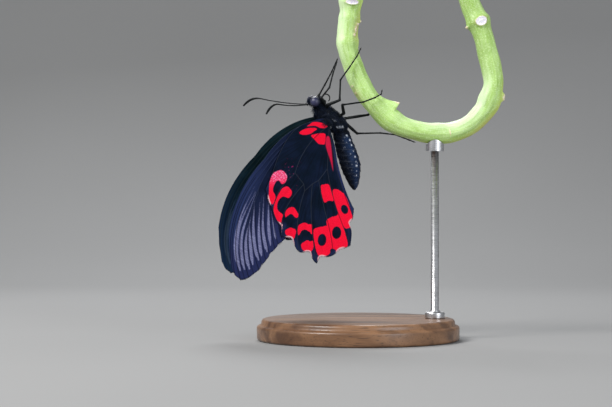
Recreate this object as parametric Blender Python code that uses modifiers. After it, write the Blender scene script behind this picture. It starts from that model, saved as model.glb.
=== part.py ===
"""A life-size museum model of a scarlet Mormon swallowtail hanging from a looped vine stem.

Units: every named length below is in millimetres and is scaled by MM when it becomes geometry.
World frame: origin under the middle of the stand's base, +X toward the crook of the stem,
+Y away from the shown (right) side of the butterfly, +Z up.
Body frame: x toward the belly, y toward the butterfly's left, z toward the head, origin in the thorax.
"""

import math

import bpy
from mathutils import Euler, Vector

MM = 0.001
OBJECT_NAME = "swallowtail_butterfly"

# Stand
BASE_RADIUS = 38.0
BASE_HEIGHT = 8.0
BASE_EDGE = 1.2
ROD_RADIUS = 1.5
CLIP_RADIUS = 3.4
CLIP_DEPTH = 5.0
TOUCH_GAP = 0.3

# Stem: a vine loop in the XZ plane, whose lowest point rests on the stand
STEM_RADIUS = 3.9
STEM_ROUTE = (
    (-2.5, 129.6),
    (-3.0, 122.9),
    (-3.7, 117.0),
    (-3.9, 110.7),
    (-2.1, 103.4),
    (2.2, 93.6),
    (9.6, 84.6),
    (18.0, 79.6),
    (28.8, 77.4),
    (39.4, 79.2),
    (47.4, 86.2),
    (50.7, 96.0),
    (49.1, 106.6),
    (46.6, 116.4),
    (44.0, 122.8),
    (41.3, 130.2),
)
STEM_STEPS_PER_SPAN = 3
STEM_LEAN_START = 96.0
STEM_LEAN = 0.16
STEM_BUMPS = (
    (0.15, 0.8, 2.4),
    (1.4, 0.3, 3.4),
    (2.9, 0.45, 3.0),
    (6.35, 0.5, 3.2),
    (10.4, 0.6, 3.4),
    (13.45, 0.9, 3.2),
)

# Where the butterfly hangs
THORAX_PLACE = (-9.5, 0.0, 82.2)
BODY_YAW = math.radians(16)
BODY_ROLL = math.radians(8)

# Body: the thorax runs along the wing hinge, which dips toward the tail
HINGE_DIP = math.radians(39.1)
THORAX_WIDTH = 0.88
PROTHORAX_STATIONS = ((-8.6, 0.2, 1.2), (-8.1, 0.2, 2.0), (-7.1, 0.2, 2.6), (-5.9, 0.2, 3.0))
THORAX_STATIONS = (
    (-5.6, 0.2, 3.0),
    (-4.6, 0.2, 3.45),
    (-2.5, 0.0, 3.75),
    (0.0, 0.0, 3.85),
    (2.6, 0.0, 3.75),
    (4.4, 0.1, 3.3),
    (5.6, 0.35, 2.65),
    (6.2, 0.6, 1.9),
)
ABDOMEN_STATIONS = (
    (3.6, -6.0, 1.4),
    (4.0, -7.0, 2.5),
    (4.7, -8.7, 3.5),
    (5.7, -11.2, 3.9),
    (6.8, -14.0, 4.0),
    (7.8, -17.0, 3.9),
    (8.5, -19.8, 3.4),
    (9.1, -22.4, 2.6),
    (9.5, -24.6, 1.6),
    (9.7, -26.1, 0.6),
)

# Head
HEAD_CENTRE = (-7.9, 0.0, 7.3)
HEAD_RADII = (2.1, 2.0, 1.75)
EYE_RADIUS = 1.92
EYE_CENTRE = (-7.8, 2.0, 7.15)
EYE_GAP = 0.08
PALP_BASE = (-5.2, 0.9, 6.9)
PALP_TIP = (-5.4, 0.8, 9.2)
PALP_RADIUS = 0.45
COIL_CENTRE = (-3.0, 8.3)
COIL_OUTER = 1.72
COIL_INNER = 1.45
COIL_TURNS = 0.72
COIL_TUBE = 0.28
ANTENNA_BASE = (-10.3, 0.8, 5.9)
ANTENNA_LENGTH = 26.0
ANTENNA_SPLAY = math.radians(39.5)
ANTENNA_RISE = 1.3
ANTENNA_SAG = 0.45
ANTENNA_SAG_TO = 0.75
ANTENNA_DROOP = 3.7
ANTENNA_DROOP_FROM = 0.72
ANTENNA_SHAFT = 0.26
ANTENNA_CLUB = 0.46

# Wings, in each wing's own plane: angles in degrees from straight out, positive toward the head,
# and lengths from the wing root. Each vein runs root, fork (where it leaves the cell), end.
# (name, root angle, fork angle, fork length, end angle, end length, bow)
WING_THICKNESS = 0.5
WING_OPENING = math.radians(5)
HINDWING_OPENING_LEFT = math.radians(16)
ROOT_SHARE = 0.05
FOREWING_ROOT = (-3.8, 3.9, 1.5)
FOREWING_SHIFT_LEFT = (-0.4, 0.3)
FOREWING_ADVANCE_LEFT = math.radians(-0.6)
FOREWING_VEINS = (
    ("costa", 44.0, 18.2, 28.2, 1.8, 56.3, 0.9),
    ("R4", 33.0, 15.0, 30.0, -6.8, 65.9, 2.0),
    ("R5", 29.0, 11.5, 31.0, -11.3, 68.0, 2.6),
    ("M1", 27.0, 0.3, 45.5, -13.3, 65.8, 1.3),
    ("M2", 26.0, -0.5, 45.5, -15.3, 61.7, 0.0),
    ("M3", 20.0, 0.8, 38.0, -16.2, 57.5, -0.4),
    ("CuA1", 13.0, -1.0, 33.0, -17.8, 52.2, 0.0),
    ("CuA2", 5.0, -5.5, 30.0, -19.8, 48.4, 1.5),
    ("2A", -14.0, -20.0, 20.5, -25.7, 41.0, 0.0),
    ("inner", -27.0, -28.0, 19.2, -28.6, 38.4, 0.0),
)
# Scallops of the outer margin between neighbouring veins: (depth, lean), deepest midway at lean 1
FOREWING_SCALLOPS = (
    (-0.3, 1.0), (-0.5, 1.0), (-0.2, 1.0), (0.0, 1.0), (0.30, 1.0), (0.45, 1.3), (0.30, 1.0), (0.4, 1.0),
    (0.2, 1.0),
)
FOREWING_GRID = (27, 9)
HINDWING_ROOT = (-1.2, 4.8, 3.1)
HINDWING_SHIFT_LEFT = (0.8, 0.0)
HINDWING_VEINS = (
    ("Sc", 84.0, 35.0, 16.6, 6.7, 33.7, -4.5),
    ("Rs", 20.0, -2.7, 21.8, -4.9, 37.9, 3.0),
    ("M1", 8.0, -15.5, 23.6, -15.6, 44.5, 4.4),
    ("M2", -4.0, -18.5, 25.8, -26.2, 48.0, 1.5),
    ("M3", -14.0, -23.3, 22.4, -34.8, 51.3, -0.5),
    ("CuA1", -28.0, -29.0, 20.5, -42.1, 48.3, -3.2),
    ("CuA2", -40.0, -38.0, 16.0, -51.0, 45.6, -1.3),
    ("2A", -53.0, -50.5, 14.0, -56.1, 35.2, 0.0),
    ("inner", -62.0, -54.5, 13.0, -58.0, 32.6, 1.0),
)
HINDWING_SCALLOPS = (
    (-0.25, 1.1), (1.6, 2.0), (1.9, 0.75), (2.1, 0.8), (1.7, 0.61), (0.75, 0.8), (1.2, 2.4), (0.0, 1.0),
)
HINDWING_GRID = (40, 8)
WING_CURL_FROM = 30.0
WING_CURL = 1.6

# Legs: coxa, knee, ankle and foot points in the world frame; the feet hold the stem
LEG_GAP = 0.12
FEMUR_RADIUS = 0.52
TIBIA_RADIUS = 0.34
TARSUS_RADIUS = 0.26
LEG_STEPS = 12
LEGS = {
    "leg_fore_r": (
        (-13.0, -3.6, 88.9), (-14.0, -5.2, 90.2), (-10.8, -5.5, 94.2), (-9.5, -3.2, 99.4),
        (-7.9, -1.0, 104.2),
    ),
    "leg_fore_l": (
        (-12.6, -1.2, 89.3), (-14.8, 1.3, 91.5), (-12.4, 1.9, 95.8), (-9.9, 1.6, 100.5), (-7.7, 1.2, 105.4),
    ),
    "leg_mid_r": (
        (-11.3, -4.9, 87.9), (-7.0, -6.3, 89.5), (-6.7, -6.2, 97.0), (-3.8, -5.4, 101.1), (-0.5, -4.6, 106.0),
        (0.9, -3.0, 108.9),
    ),
    "leg_mid_l": ((-5.0, 3.3, 83.2), (4.0, 6.3, 84.7), (7.8, 6.6, 87.6), (6.2, 5.4, 91.7)),
    "leg_hind_r": (
        (-5.4, -3.0, 84.8), (-6.0, -5.8, 87.8), (1.8, -6.2, 88.8), (6.2, -5.0, 90.5), (8.6, -2.6, 92.0),
        (8.9, -1.6, 93.3),
    ),
    "leg_hind_l": (
        (-4.1, 3.0, 80.9), (-0.2, 5.2, 77.6), (8.5, 5.4, 77.8), (14.2, 4.2, 77.1), (21.3, 2.2, 74.2),
    ),
}

COLOURS = {
    "wing": (0.010, 0.012, 0.025, 1.0),
    "body": (0.008, 0.009, 0.016, 1.0),
    "eye": (0.060, 0.065, 0.120, 1.0),
    "leg": (0.010, 0.010, 0.012, 1.0),
    "stem": (0.400, 0.560, 0.130, 1.0),
    "stand": (0.420, 0.260, 0.130, 1.0),
    "metal": (0.560, 0.560, 0.580, 1.0),
}


def clear_scene():
    for old in list(bpy.data.objects):
        bpy.data.objects.remove(old, do_unlink=True)


def make_material(name, colour, roughness, metallic=0.0):
    material = bpy.data.materials.new(name)
    material.use_nodes = True
    shader = material.node_tree.nodes["Principled BSDF"]
    shader.inputs["Base Color"].default_value = colour
    shader.inputs["Roughness"].default_value = roughness
    shader.inputs["Metallic"].default_value = metallic
    return material


def make_collection(name):
    collection = bpy.data.collections.new(name)
    bpy.context.scene.collection.children.link(collection)
    return collection


def adopt(obj, name, material, parent=None):
    """Names an object, gives it its material and moves it into the parts' collection."""
    obj.name = name
    obj.data.name = name
    obj.data.materials.clear()
    obj.data.materials.append(material)
    for owner in list(obj.users_collection):
        owner.objects.unlink(obj)
    PARTS.objects.link(obj)
    if parent is not None:
        obj.parent = parent
    return obj


def empty(name, location, rotation, parent=None):
    marker = bpy.data.objects.new(name, None)
    marker.empty_display_size = 5 * MM
    marker.location = Vector(location) * MM
    marker.rotation_euler = rotation
    marker.parent = parent
    PARTS.objects.link(marker)
    return marker


def tube(name, points, radii, material, parent=None, sides=2):
    """A solid tube through points whose radius changes along it; sides is its bevel resolution."""
    curve = bpy.data.curves.new(name, "CURVE")
    curve.dimensions = "3D"
    curve.bevel_depth = MM
    curve.bevel_resolution = sides
    curve.use_fill_caps = True
    curve.twist_mode = "MINIMUM"
    spline = curve.splines.new("POLY")
    spline.points.add(len(points) - 1)
    for target, point, radius in zip(spline.points, points, radii):
        target.co = (*(Vector(point) * MM), 1.0)
        target.radius = radius
    obj = bpy.data.objects.new(name, curve)
    bpy.context.scene.collection.objects.link(obj)
    return adopt(obj, name, material, parent)


def smooth_route(points, steps):
    """Points of a Catmull-Rom curve through the given ones."""
    knots = [Vector(p) for p in points]
    knots = [2 * knots[0] - knots[1], *knots, 2 * knots[-1] - knots[-2]]
    route = []
    for i in range(1, len(knots) - 2):
        before, start, end, after = knots[i - 1 : i + 3]
        for step in range(steps):
            t = step / steps
            route.append(
                0.5
                * (
                    2 * start
                    + (end - before) * t
                    + (2 * before - 5 * start + 4 * end - after) * t**2
                    + (3 * start - before - 3 * end + after) * t**3
                )
            )
    route.append(knots[-2])
    return route


def stem_lean(height):
    """How far the loop leans away from the viewer, so that it isn't flat."""
    return STEM_LEAN * max(0.0, height - STEM_LEAN_START)


def stem_line():
    """The stem's centre points, and its radius at each with the swellings of old nodes."""
    knots = []
    for x, z in STEM_ROUTE:
        lean = stem_lean(z) if x > BASE_RADIUS else 0.0
        knots.append((x, lean, z))
    line = smooth_route(knots, STEM_STEPS_PER_SPAN)
    radii = []
    for i in range(len(line)):
        span = i / STEM_STEPS_PER_SPAN
        swell = sum(size * math.exp(-(((span - at) * sharp) ** 2)) for at, size, sharp in STEM_BUMPS)
        radii.append(STEM_RADIUS + swell)
    return line, radii


def keep_off_stem(point, line, radii, clearance):
    """Moves a foot's point out to the stem's surface where it would sink into the stem."""
    point = Vector(point)
    nearest, reach, distance = None, 0.0, 1e9
    for start, end, r0, r1 in zip(line, line[1:], radii, radii[1:]):
        along = end - start
        t = min(1.0, max(0.0, (point - start).dot(along) / along.length_squared))
        at = start + along * t
        if (point - at).length < distance:
            nearest, reach, distance = at, r0 + (r1 - r0) * t, (point - at).length
    reach += clearance
    if distance >= reach:
        return point
    return nearest + (point - nearest).normalized() * reach


def leg(name, joints, line, stem_radii, material):
    """A jointed leg: thick femur, thinner tibia, thread-like tarsus."""
    lengths = [0.0]
    for start, end in zip(joints, joints[1:]):
        lengths.append(lengths[-1] + (Vector(end) - Vector(start)).length)
    points, radii = [], []
    for step in range(LEG_STEPS + 1):
        at = lengths[-1] * step / LEG_STEPS
        i = max(k for k in range(len(joints) - 1) if lengths[k] <= at)
        t = (at - lengths[i]) / (lengths[i + 1] - lengths[i])
        spot = Vector(joints[i]).lerp(Vector(joints[i + 1]), min(t, 1.0))
        share = step / LEG_STEPS
        radius = FEMUR_RADIUS + (TIBIA_RADIUS - FEMUR_RADIUS) * min(1.0, share / 0.4)
        if share > 0.4:
            radius += (TARSUS_RADIUS - TIBIA_RADIUS) * min(1.0, (share - 0.4) / 0.3)
        points.append(keep_off_stem(spot, line, stem_radii, radius + LEG_GAP))
        radii.append(radius)
    return tube(name, points, radii, material)


def along_hinge(rear, up):
    """Body-frame point, rear along the hinge and up square to it, toward belly and head."""
    return (
        rear * math.cos(HINGE_DIP) + up * math.sin(HINGE_DIP),
        0.0,
        -rear * math.sin(HINGE_DIP) + up * math.cos(HINGE_DIP),
    )


def ellipsoid(name, centre, radii, material, parent, segments=20, rings=12):
    bpy.ops.mesh.primitive_uv_sphere_add(segments=segments, ring_count=rings, radius=MM)
    obj = adopt(bpy.context.object, name, material, parent)
    obj.location = Vector(centre) * MM
    obj.scale = radii
    return obj


def make_body(body):
    hinge_parts = (("prothorax", PROTHORAX_STATIONS), ("thorax", THORAX_STATIONS))
    for name, stations in hinge_parts:
        points = [along_hinge(rear, up) for rear, up, _ in stations]
        part = tube(name, points, [s[2] for s in stations], FINISH["body"], body, sides=5)
        part.scale.y = THORAX_WIDTH
    points = [(x, 0.0, z) for x, z, _ in ABDOMEN_STATIONS]
    tube("abdomen", points, [s[2] for s in ABDOMEN_STATIONS], FINISH["body"], body, sides=5)


def make_head(body):
    head = ellipsoid("head", HEAD_CENTRE, HEAD_RADII, FINISH["body"], body)
    for side, letter in ((-1, "r"), (1, "l")):
        centre = (EYE_CENTRE[0], side * EYE_CENTRE[1], EYE_CENTRE[2])
        ellipsoid(f"eye_{letter}", centre, (EYE_RADIUS,) * 3, FINISH["eye"], body)
        socket = ellipsoid(f"socket_{letter}", centre, (EYE_RADIUS + EYE_GAP,) * 3, FINISH["eye"], body)
        hide_cutter(socket)
        cut(head, socket)
        ends = [(x, side * y, z) for x, y, z in (PALP_BASE, PALP_TIP)]
        middle = [(a + b) / 2 for a, b in zip(*ends)]
        radii = (PALP_RADIUS, PALP_RADIUS, PALP_RADIUS * 0.6)
        tube(f"palp_{letter}", [ends[0], middle, ends[1]], radii, FINISH["body"], body)
        make_antenna(side, letter, body)
    make_proboscis(body)


def make_antenna(side, letter, body):
    steps = 13
    points, radii = [], []
    for step in range(steps + 1):
        t = step / steps
        droop = ANTENNA_DROOP * max(0.0, (t - ANTENNA_DROOP_FROM) / (1 - ANTENNA_DROOP_FROM)) ** 2.5
        sag = ANTENNA_SAG * math.sin(math.pi * min(1.0, t / ANTENNA_SAG_TO))
        points.append(
            (
                ANTENNA_BASE[0] - ANTENNA_LENGTH * t * math.cos(ANTENNA_SPLAY),
                side * (ANTENNA_BASE[1] + ANTENNA_LENGTH * t * math.sin(ANTENNA_SPLAY)),
                ANTENNA_BASE[2] + ANTENNA_RISE * t - sag - droop,
            )
        )
        club = max(0.0, min(1.0, (t - 0.68) / 0.22)) * (1.0 if t < 0.97 else 0.7)
        radii.append(ANTENNA_SHAFT + (ANTENNA_CLUB - ANTENNA_SHAFT) * club)
    tube(f"antenna_{letter}", points, radii, FINISH["leg"], body)


def make_proboscis(body):
    steps = 22
    points = []
    for step in range(steps + 1):
        t = step / steps
        turn = math.radians(215) - 2 * math.pi * COIL_TURNS * t
        radius = COIL_OUTER + (COIL_INNER - COIL_OUTER) * t
        x = COIL_CENTRE[0] + radius * math.cos(turn)
        points.append((x, 0.0, COIL_CENTRE[1] + radius * math.sin(turn)))
    tube("proboscis", points, [COIL_TUBE] * len(points), FINISH["leg"], body)


def hide_cutter(obj):
    """Keeps a cutting shape out of the part: it is only an operand."""
    for owner in list(obj.users_collection):
        owner.objects.unlink(obj)
    CUTTERS.objects.link(obj)
    obj.hide_render = True
    obj.display_type = "WIRE"


def cut(obj, cutter):
    modifier = obj.modifiers.new(f"cut_{cutter.name}", "BOOLEAN")
    modifier.operation = "DIFFERENCE"
    modifier.object = cutter


def vein_point(vein, share):
    """A point along one vein: share 0 at the root, 0.5 at the fork, 1 at the margin."""
    _, root_angle, fork_angle, fork, end_angle, end, bow = vein
    if share < 0.5:
        t = share / 0.5
        angle = root_angle + (fork_angle - root_angle) * t
        length = fork * t
    else:
        t = (share - 0.5) / 0.5
        angle = fork_angle + (end_angle - fork_angle) * t + bow * 4 * t * (1 - t)
        length = fork + (end - fork) * t
    angle = math.radians(angle)
    return Vector((-length * math.sin(angle), length * math.cos(angle)))


def wing_point(veins, scallops, across, share):
    """(rearward, outward) on a wing: across counts the veins, share runs from root to margin."""
    i = min(int(across), len(veins) - 2)
    f = across - i
    point = vein_point(veins[i], share).lerp(vein_point(veins[i + 1], share), f)
    depth, lean = scallops[i]
    notch = depth * math.sin(math.pi * f**lean) ** 3 * max(0.0, share - 0.5) / 0.5
    chord = (vein_point(veins[i + 1], 1.0) - vein_point(veins[i], 1.0)).normalized()
    return point + Vector((-chord.y, chord.x)) * -notch


def wing_curl(rear, out):
    """Gentle bow of the whole sheet, the same for the two wings of a side, so they nest."""
    return WING_CURL * (max(0.0, out - WING_CURL_FROM) / 40) ** 2 - 0.0004 * rear * rear


def make_wing(name, side, root, veins, scallops, grid, opening, advance, hinge):
    """A sheet shaped from a unit grid: columns fan across the veins, rows run from root to margin."""
    bpy.ops.mesh.primitive_grid_add(x_subdivisions=grid[0], y_subdivisions=grid[1], size=1.0)
    wing = adopt(bpy.context.object, name, FINISH["wing"], hinge)
    gaps = len(veins) - 1
    for vertex in wing.data.vertices:
        across = (vertex.co.x + 0.5) * gaps
        share = ROOT_SHARE + (1 - ROOT_SHARE) * (vertex.co.y + 0.5)
        rear, out = wing_point(veins, scallops, across, share)
        lift = side * wing_curl(rear + root[0], out + root[2])
        vertex.co = Vector((rear, -lift, -out)) * MM
    rear, gap, out = root
    wing.location = Vector((rear, side * gap, -out)) * MM
    wing.rotation_mode = "YXZ"
    wing.rotation_euler = (side * opening, advance, 0.0)
    sheet = wing.modifiers.new("sheet", "SOLIDIFY")
    sheet.thickness = WING_THICKNESS * MM
    sheet.offset = 0.0
    return wing


def shifted(root, shift):
    """A wing root moved along the hinge and outward: (rear, out)."""
    return (root[0] + shift[0], root[1], root[2] + shift[1])


def make_wings(hinge):
    """The right wings lie on one another; the left ones are held a little apart, the hindwing wider open."""
    fore = (FOREWING_VEINS, FOREWING_SCALLOPS, FOREWING_GRID, WING_OPENING)
    hind = (HINDWING_VEINS, HINDWING_SCALLOPS, HINDWING_GRID)
    make_wing("forewing_r", -1, FOREWING_ROOT, *fore, 0.0, hinge)
    make_wing("hindwing_r", -1, HINDWING_ROOT, *hind, WING_OPENING, 0.0, hinge)
    fore_root = shifted(FOREWING_ROOT, FOREWING_SHIFT_LEFT)
    hind_root = shifted(HINDWING_ROOT, HINDWING_SHIFT_LEFT)
    make_wing("forewing_l", 1, fore_root, *fore, FOREWING_ADVANCE_LEFT, hinge)
    make_wing("hindwing_l", 1, hind_root, *hind, HINDWING_OPENING_LEFT, 0.0, hinge)


def make_stem_and_stand(line, radii):
    tube("perch_stem", line, radii, FINISH["stem"], sides=4)
    low = min(line, key=lambda p: p.z)
    bpy.ops.mesh.primitive_cylinder_add(vertices=64, radius=BASE_RADIUS * MM, depth=BASE_HEIGHT * MM)
    base = adopt(bpy.context.object, "stand_base", FINISH["stand"])
    base.location.z = BASE_HEIGHT / 2 * MM
    edge = base.modifiers.new("edge", "BEVEL")
    edge.width = BASE_EDGE * MM
    edge.segments = 2
    clip_top = low.z - STEM_RADIUS * 0.4
    clip_foot = low.z - STEM_RADIUS - TOUCH_GAP - CLIP_DEPTH / 2
    upright("stand_clip", low.x, clip_foot, clip_top, CLIP_RADIUS, FINISH["metal"], 32)
    groove = bpy.data.objects["stand_clip"]
    cradle = cylinder_along_x("cradle", low, STEM_RADIUS + TOUCH_GAP)
    cut(groove, cradle)
    rod_foot = BASE_HEIGHT + TOUCH_GAP
    upright("stand_rod", low.x, rod_foot, clip_foot - TOUCH_GAP, ROD_RADIUS, FINISH["metal"], 20)


def upright(name, x, foot, top, radius, material, sides):
    bpy.ops.mesh.primitive_cylinder_add(vertices=sides, radius=radius * MM, depth=(top - foot) * MM)
    obj = adopt(bpy.context.object, name, material)
    obj.location = Vector((x, 0.0, (foot + top) / 2)) * MM
    return obj


def cylinder_along_x(name, centre, radius):
    bpy.ops.mesh.primitive_cylinder_add(vertices=32, radius=radius * MM, depth=30 * MM)
    obj = adopt(bpy.context.object, name, FINISH["metal"])
    obj.rotation_euler = (0.0, math.pi / 2, 0.0)
    obj.location = Vector(centre) * MM
    hide_cutter(obj)
    return obj


clear_scene()
PARTS = make_collection(OBJECT_NAME)
CUTTERS = make_collection("cutters")
FINISH = {
    "wing": make_material("wing", COLOURS["wing"], 0.6),
    "body": make_material("body", COLOURS["body"], 0.7),
    "eye": make_material("eye", COLOURS["eye"], 0.15),
    "leg": make_material("leg", COLOURS["leg"], 0.4),
    "stem": make_material("stem", COLOURS["stem"], 0.5),
    "stand": make_material("stand", COLOURS["stand"], 0.45),
    "metal": make_material("metal", COLOURS["metal"], 0.3, 1.0),
}
BODY = empty("body_frame", THORAX_PLACE, Euler((BODY_ROLL, 0.0, BODY_YAW)))
HINGE = empty("wing_hinge", (0.0, 0.0, 0.0), Euler((0.0, HINGE_DIP, 0.0)), BODY)
make_body(BODY)
make_head(BODY)
make_wings(HINGE)
STEM_LINE, STEM_RADII = stem_line()
make_stem_and_stand(STEM_LINE, STEM_RADII)
for leg_name, leg_joints in LEGS.items():
    leg(leg_name, leg_joints, STEM_LINE, STEM_RADII, FINISH["leg"])
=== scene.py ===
"""Looks of the life-size scarlet Mormon swallowtail on its looped stem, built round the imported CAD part.

Lengths are in millimetres and become metres through MM when they turn into geometry.
World frame: origin under the middle of the base, +Y away from the shown side, +Z up.
Body frame: x toward the belly, y toward the butterfly's left, z toward the head.
Wing frame: (rear, out) in the wing's own plane, from the wing's root.
"""

import math

import bpy
import numpy as np
from mathutils import Euler, Matrix, Vector


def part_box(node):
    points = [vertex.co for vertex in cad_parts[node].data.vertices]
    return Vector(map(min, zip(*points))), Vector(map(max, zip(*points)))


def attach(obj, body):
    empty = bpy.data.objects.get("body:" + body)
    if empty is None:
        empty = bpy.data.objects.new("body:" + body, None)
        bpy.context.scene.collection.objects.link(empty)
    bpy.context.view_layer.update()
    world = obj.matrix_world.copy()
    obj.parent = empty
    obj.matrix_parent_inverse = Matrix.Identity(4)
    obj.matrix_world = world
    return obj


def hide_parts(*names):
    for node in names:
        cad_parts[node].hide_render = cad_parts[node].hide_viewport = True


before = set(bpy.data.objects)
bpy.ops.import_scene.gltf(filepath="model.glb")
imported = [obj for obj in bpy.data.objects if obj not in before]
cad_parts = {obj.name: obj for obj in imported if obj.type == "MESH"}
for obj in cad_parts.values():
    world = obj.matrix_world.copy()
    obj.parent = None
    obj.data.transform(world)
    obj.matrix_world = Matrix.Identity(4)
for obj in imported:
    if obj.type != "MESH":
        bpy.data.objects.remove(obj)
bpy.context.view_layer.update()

MM = 0.001
SEED = 11

# Where the butterfly hangs, as in the CAD
THORAX_PLACE = (-9.5, 0.0, 82.2)
BODY_YAW = math.radians(16)
BODY_ROLL = math.radians(8)
HINGE_DIP = math.radians(39.1)

# Wings, as in the CAD. A vein is (name, root angle, fork angle, fork length, end angle, end length, bow),
# and starts says from which share of its length it stands out.
WING_OPENING = math.radians(5)
WING_CURL_FROM = 30.0
WING_CURL = 1.6
WING_SHEET = 0.16
FORE = {
    "root": (-3.8, 3.9, 1.5),
    "shift_left": (-0.4, 0.3),
    "advance_left": math.radians(-0.6),
    "opening_left": WING_OPENING,
    "veins": (
        ("costa", 44.0, 18.2, 28.2, 1.8, 56.3, 0.9),
        ("R4", 33.0, 15.0, 30.0, -6.8, 65.9, 2.0),
        ("R5", 29.0, 11.5, 31.0, -11.3, 68.0, 2.6),
        ("M1", 27.0, 0.3, 45.5, -13.3, 65.8, 1.3),
        ("M2", 26.0, -0.5, 45.5, -15.3, 61.7, 0.0),
        ("M3", 20.0, 0.8, 38.0, -16.2, 57.5, -0.4),
        ("CuA1", 13.0, -1.0, 33.0, -17.8, 52.2, 0.0),
        ("CuA2", 5.0, -5.5, 30.0, -19.8, 48.4, 1.5),
        ("2A", -14.0, -20.0, 20.5, -25.7, 41.0, 0.0),
        ("inner", -27.0, -28.0, 19.2, -28.6, 38.4, 0.0),
    ),
    "scallops": (
        (-0.3, 1.0), (-0.5, 1.0), (-0.2, 1.0), (0.0, 1.0), (0.30, 1.0), (0.45, 1.3), (0.30, 1.0), (0.4, 1.0),
        (0.2, 1.0),
    ),
    "starts": (0.0, 0.0, 0.0, 0.0, 0.42, 0.5, 0.5, 0.0, 0.0, 0.0),
    "cell_end": ((3, 0.40), (4, 0.42), (5, 0.5), (6, 0.5), (7, 0.5)),
    "pale_gaps": (0.0, 0.0, 0.0, 0.0, 0.6, 0.7, 0.7, 0.7, 0.0),
}
HIND = {
    "root": (-1.2, 4.8, 3.1),
    "shift_left": (0.8, 0.0),
    "advance_left": 0.0,
    "opening_left": math.radians(16),
    "veins": (
        ("Sc", 84.0, 35.0, 16.6, 6.7, 33.7, -4.5),
        ("Rs", 20.0, -2.7, 21.8, -4.9, 37.9, 3.0),
        ("M1", 8.0, -15.5, 23.6, -15.6, 44.5, 4.4),
        ("M2", -4.0, -18.5, 25.8, -26.2, 48.0, 1.5),
        ("M3", -14.0, -23.3, 22.4, -34.8, 51.3, -0.5),
        ("CuA1", -28.0, -29.0, 20.5, -42.1, 48.3, -3.2),
        ("CuA2", -40.0, -38.0, 16.0, -51.0, 45.6, -1.3),
        ("2A", -53.0, -50.5, 14.0, -56.1, 35.2, 0.0),
        ("inner", -62.0, -54.5, 13.0, -58.0, 32.6, 1.0),
    ),
    "scallops": (
        (-0.25, 1.1), (1.6, 2.0), (1.9, 0.75), (2.1, 0.8), (1.7, 0.61), (0.75, 0.8), (1.2, 2.4), (0.0, 1.0),
    ),
    "starts": (0.0, 0.0, 0.5, 0.5, 0.5, 0.5, 0.0, 0.0, 0.0),
    "cell_end": ((1, 0.5), (6, 0.5)),
    "pale_gaps": (0.7, 1.0, 1.0, 0.9, 1.0, 1.0, 1.0, 0.0),
}

# Red marks of the hindwing's underside, as outlines of (vein count, share from root to margin)
HIND_RED = (
    ((0.00, 0.88), (0.10, 0.81), (0.28, 0.75), (0.50, 0.675), (0.72, 0.63), (0.90, 0.615), (0.98, 0.66),
     (0.90, 0.715), (0.73, 0.735), (0.56, 0.78), (0.51, 0.85), (0.61, 0.88), (0.85, 0.865), (0.98, 0.88),
     (0.92, 0.95), (0.72, 0.985), (0.50, 0.99), (0.28, 0.96), (0.08, 0.925)),
    ((1.06, 0.74), (1.11, 0.70), (1.25, 0.655), (1.48, 0.64), (1.72, 0.65), (1.78, 0.68), (1.68, 0.72),
     (1.42, 0.75), (1.28, 0.81), (1.25, 0.865), (1.36, 0.90), (1.60, 0.895), (1.92, 0.885), (1.85, 0.93),
     (1.57, 0.985), (1.28, 0.99), (1.08, 0.985), (1.03, 0.95), (1.06, 0.87)),
    ((2.12, 0.835), (2.05, 0.79), (2.12, 0.75), (2.28, 0.73), (2.55, 0.71), (2.89, 0.70), (3.00, 0.715),
     (2.88, 0.742), (2.58, 0.773), (2.32, 0.794), (2.20, 0.82)),
    ((2.17, 0.95), (2.28, 0.93), (2.56, 0.885), (2.85, 0.84), (2.92, 0.86), (2.79, 0.92), (2.60, 0.965),
     (2.36, 0.995), (2.20, 0.985)),
    ((3.03, 0.825), (3.08, 0.79), (3.24, 0.78), (3.56, 0.773), (3.98, 0.755), (4.00, 0.79), (3.95, 0.82),
     (3.80, 0.81), (3.46, 0.83), (3.24, 0.835), (3.13, 0.86), (3.06, 0.87)),
    ((3.15, 0.94), (3.29, 0.925), (3.70, 0.885), (3.97, 0.86), (3.96, 0.90), (3.78, 0.94), (3.55, 0.98),
     (3.33, 1.0), (3.18, 0.985)),
    ((4.08, 0.805), (4.34, 0.805), (4.62, 0.798), (4.91, 0.80), (4.92, 0.86), (4.92, 0.94),
     (4.82, 0.978), (4.68, 0.99), (4.36, 1.005), (4.16, 0.96), (4.08, 0.89)),
    ((4.95, 0.765), (5.37, 0.776), (5.86, 0.79), (6.02, 0.79), (6.00, 0.88), (5.95, 0.93), (5.90, 0.98),
     (5.72, 1.01), (5.27, 1.01), (4.98, 0.965), (4.93, 0.88)),
    ((5.11, 0.55), (5.43, 0.56), (5.88, 0.59), (5.96, 0.64), (5.96, 0.697), (5.61, 0.677), (5.12, 0.65)),
    ((6.01, 0.69), (6.10, 0.648), (6.35, 0.658), (6.75, 0.711), (6.97, 0.775), (7.31, 0.845),
     (7.30, 0.89), (7.02, 0.94), (6.92, 1.0), (6.66, 1.01), (6.40, 0.955), (6.12, 0.905), (6.02, 0.86),
     (6.00, 0.78)),
)
# Black spots on the red: (vein count, share, half length along the cell, half width, turn in degrees)
HIND_SPOTS = (
    (4.52, 0.888, 2.30, 1.70, 0.0),
    (5.47, 0.888, 2.35, 1.85, -4.0),
    (6.76, 0.881, 1.80, 1.40, 15.0),
    (5.03, 0.975, 1.35, 0.85, 65.0),
)
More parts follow.
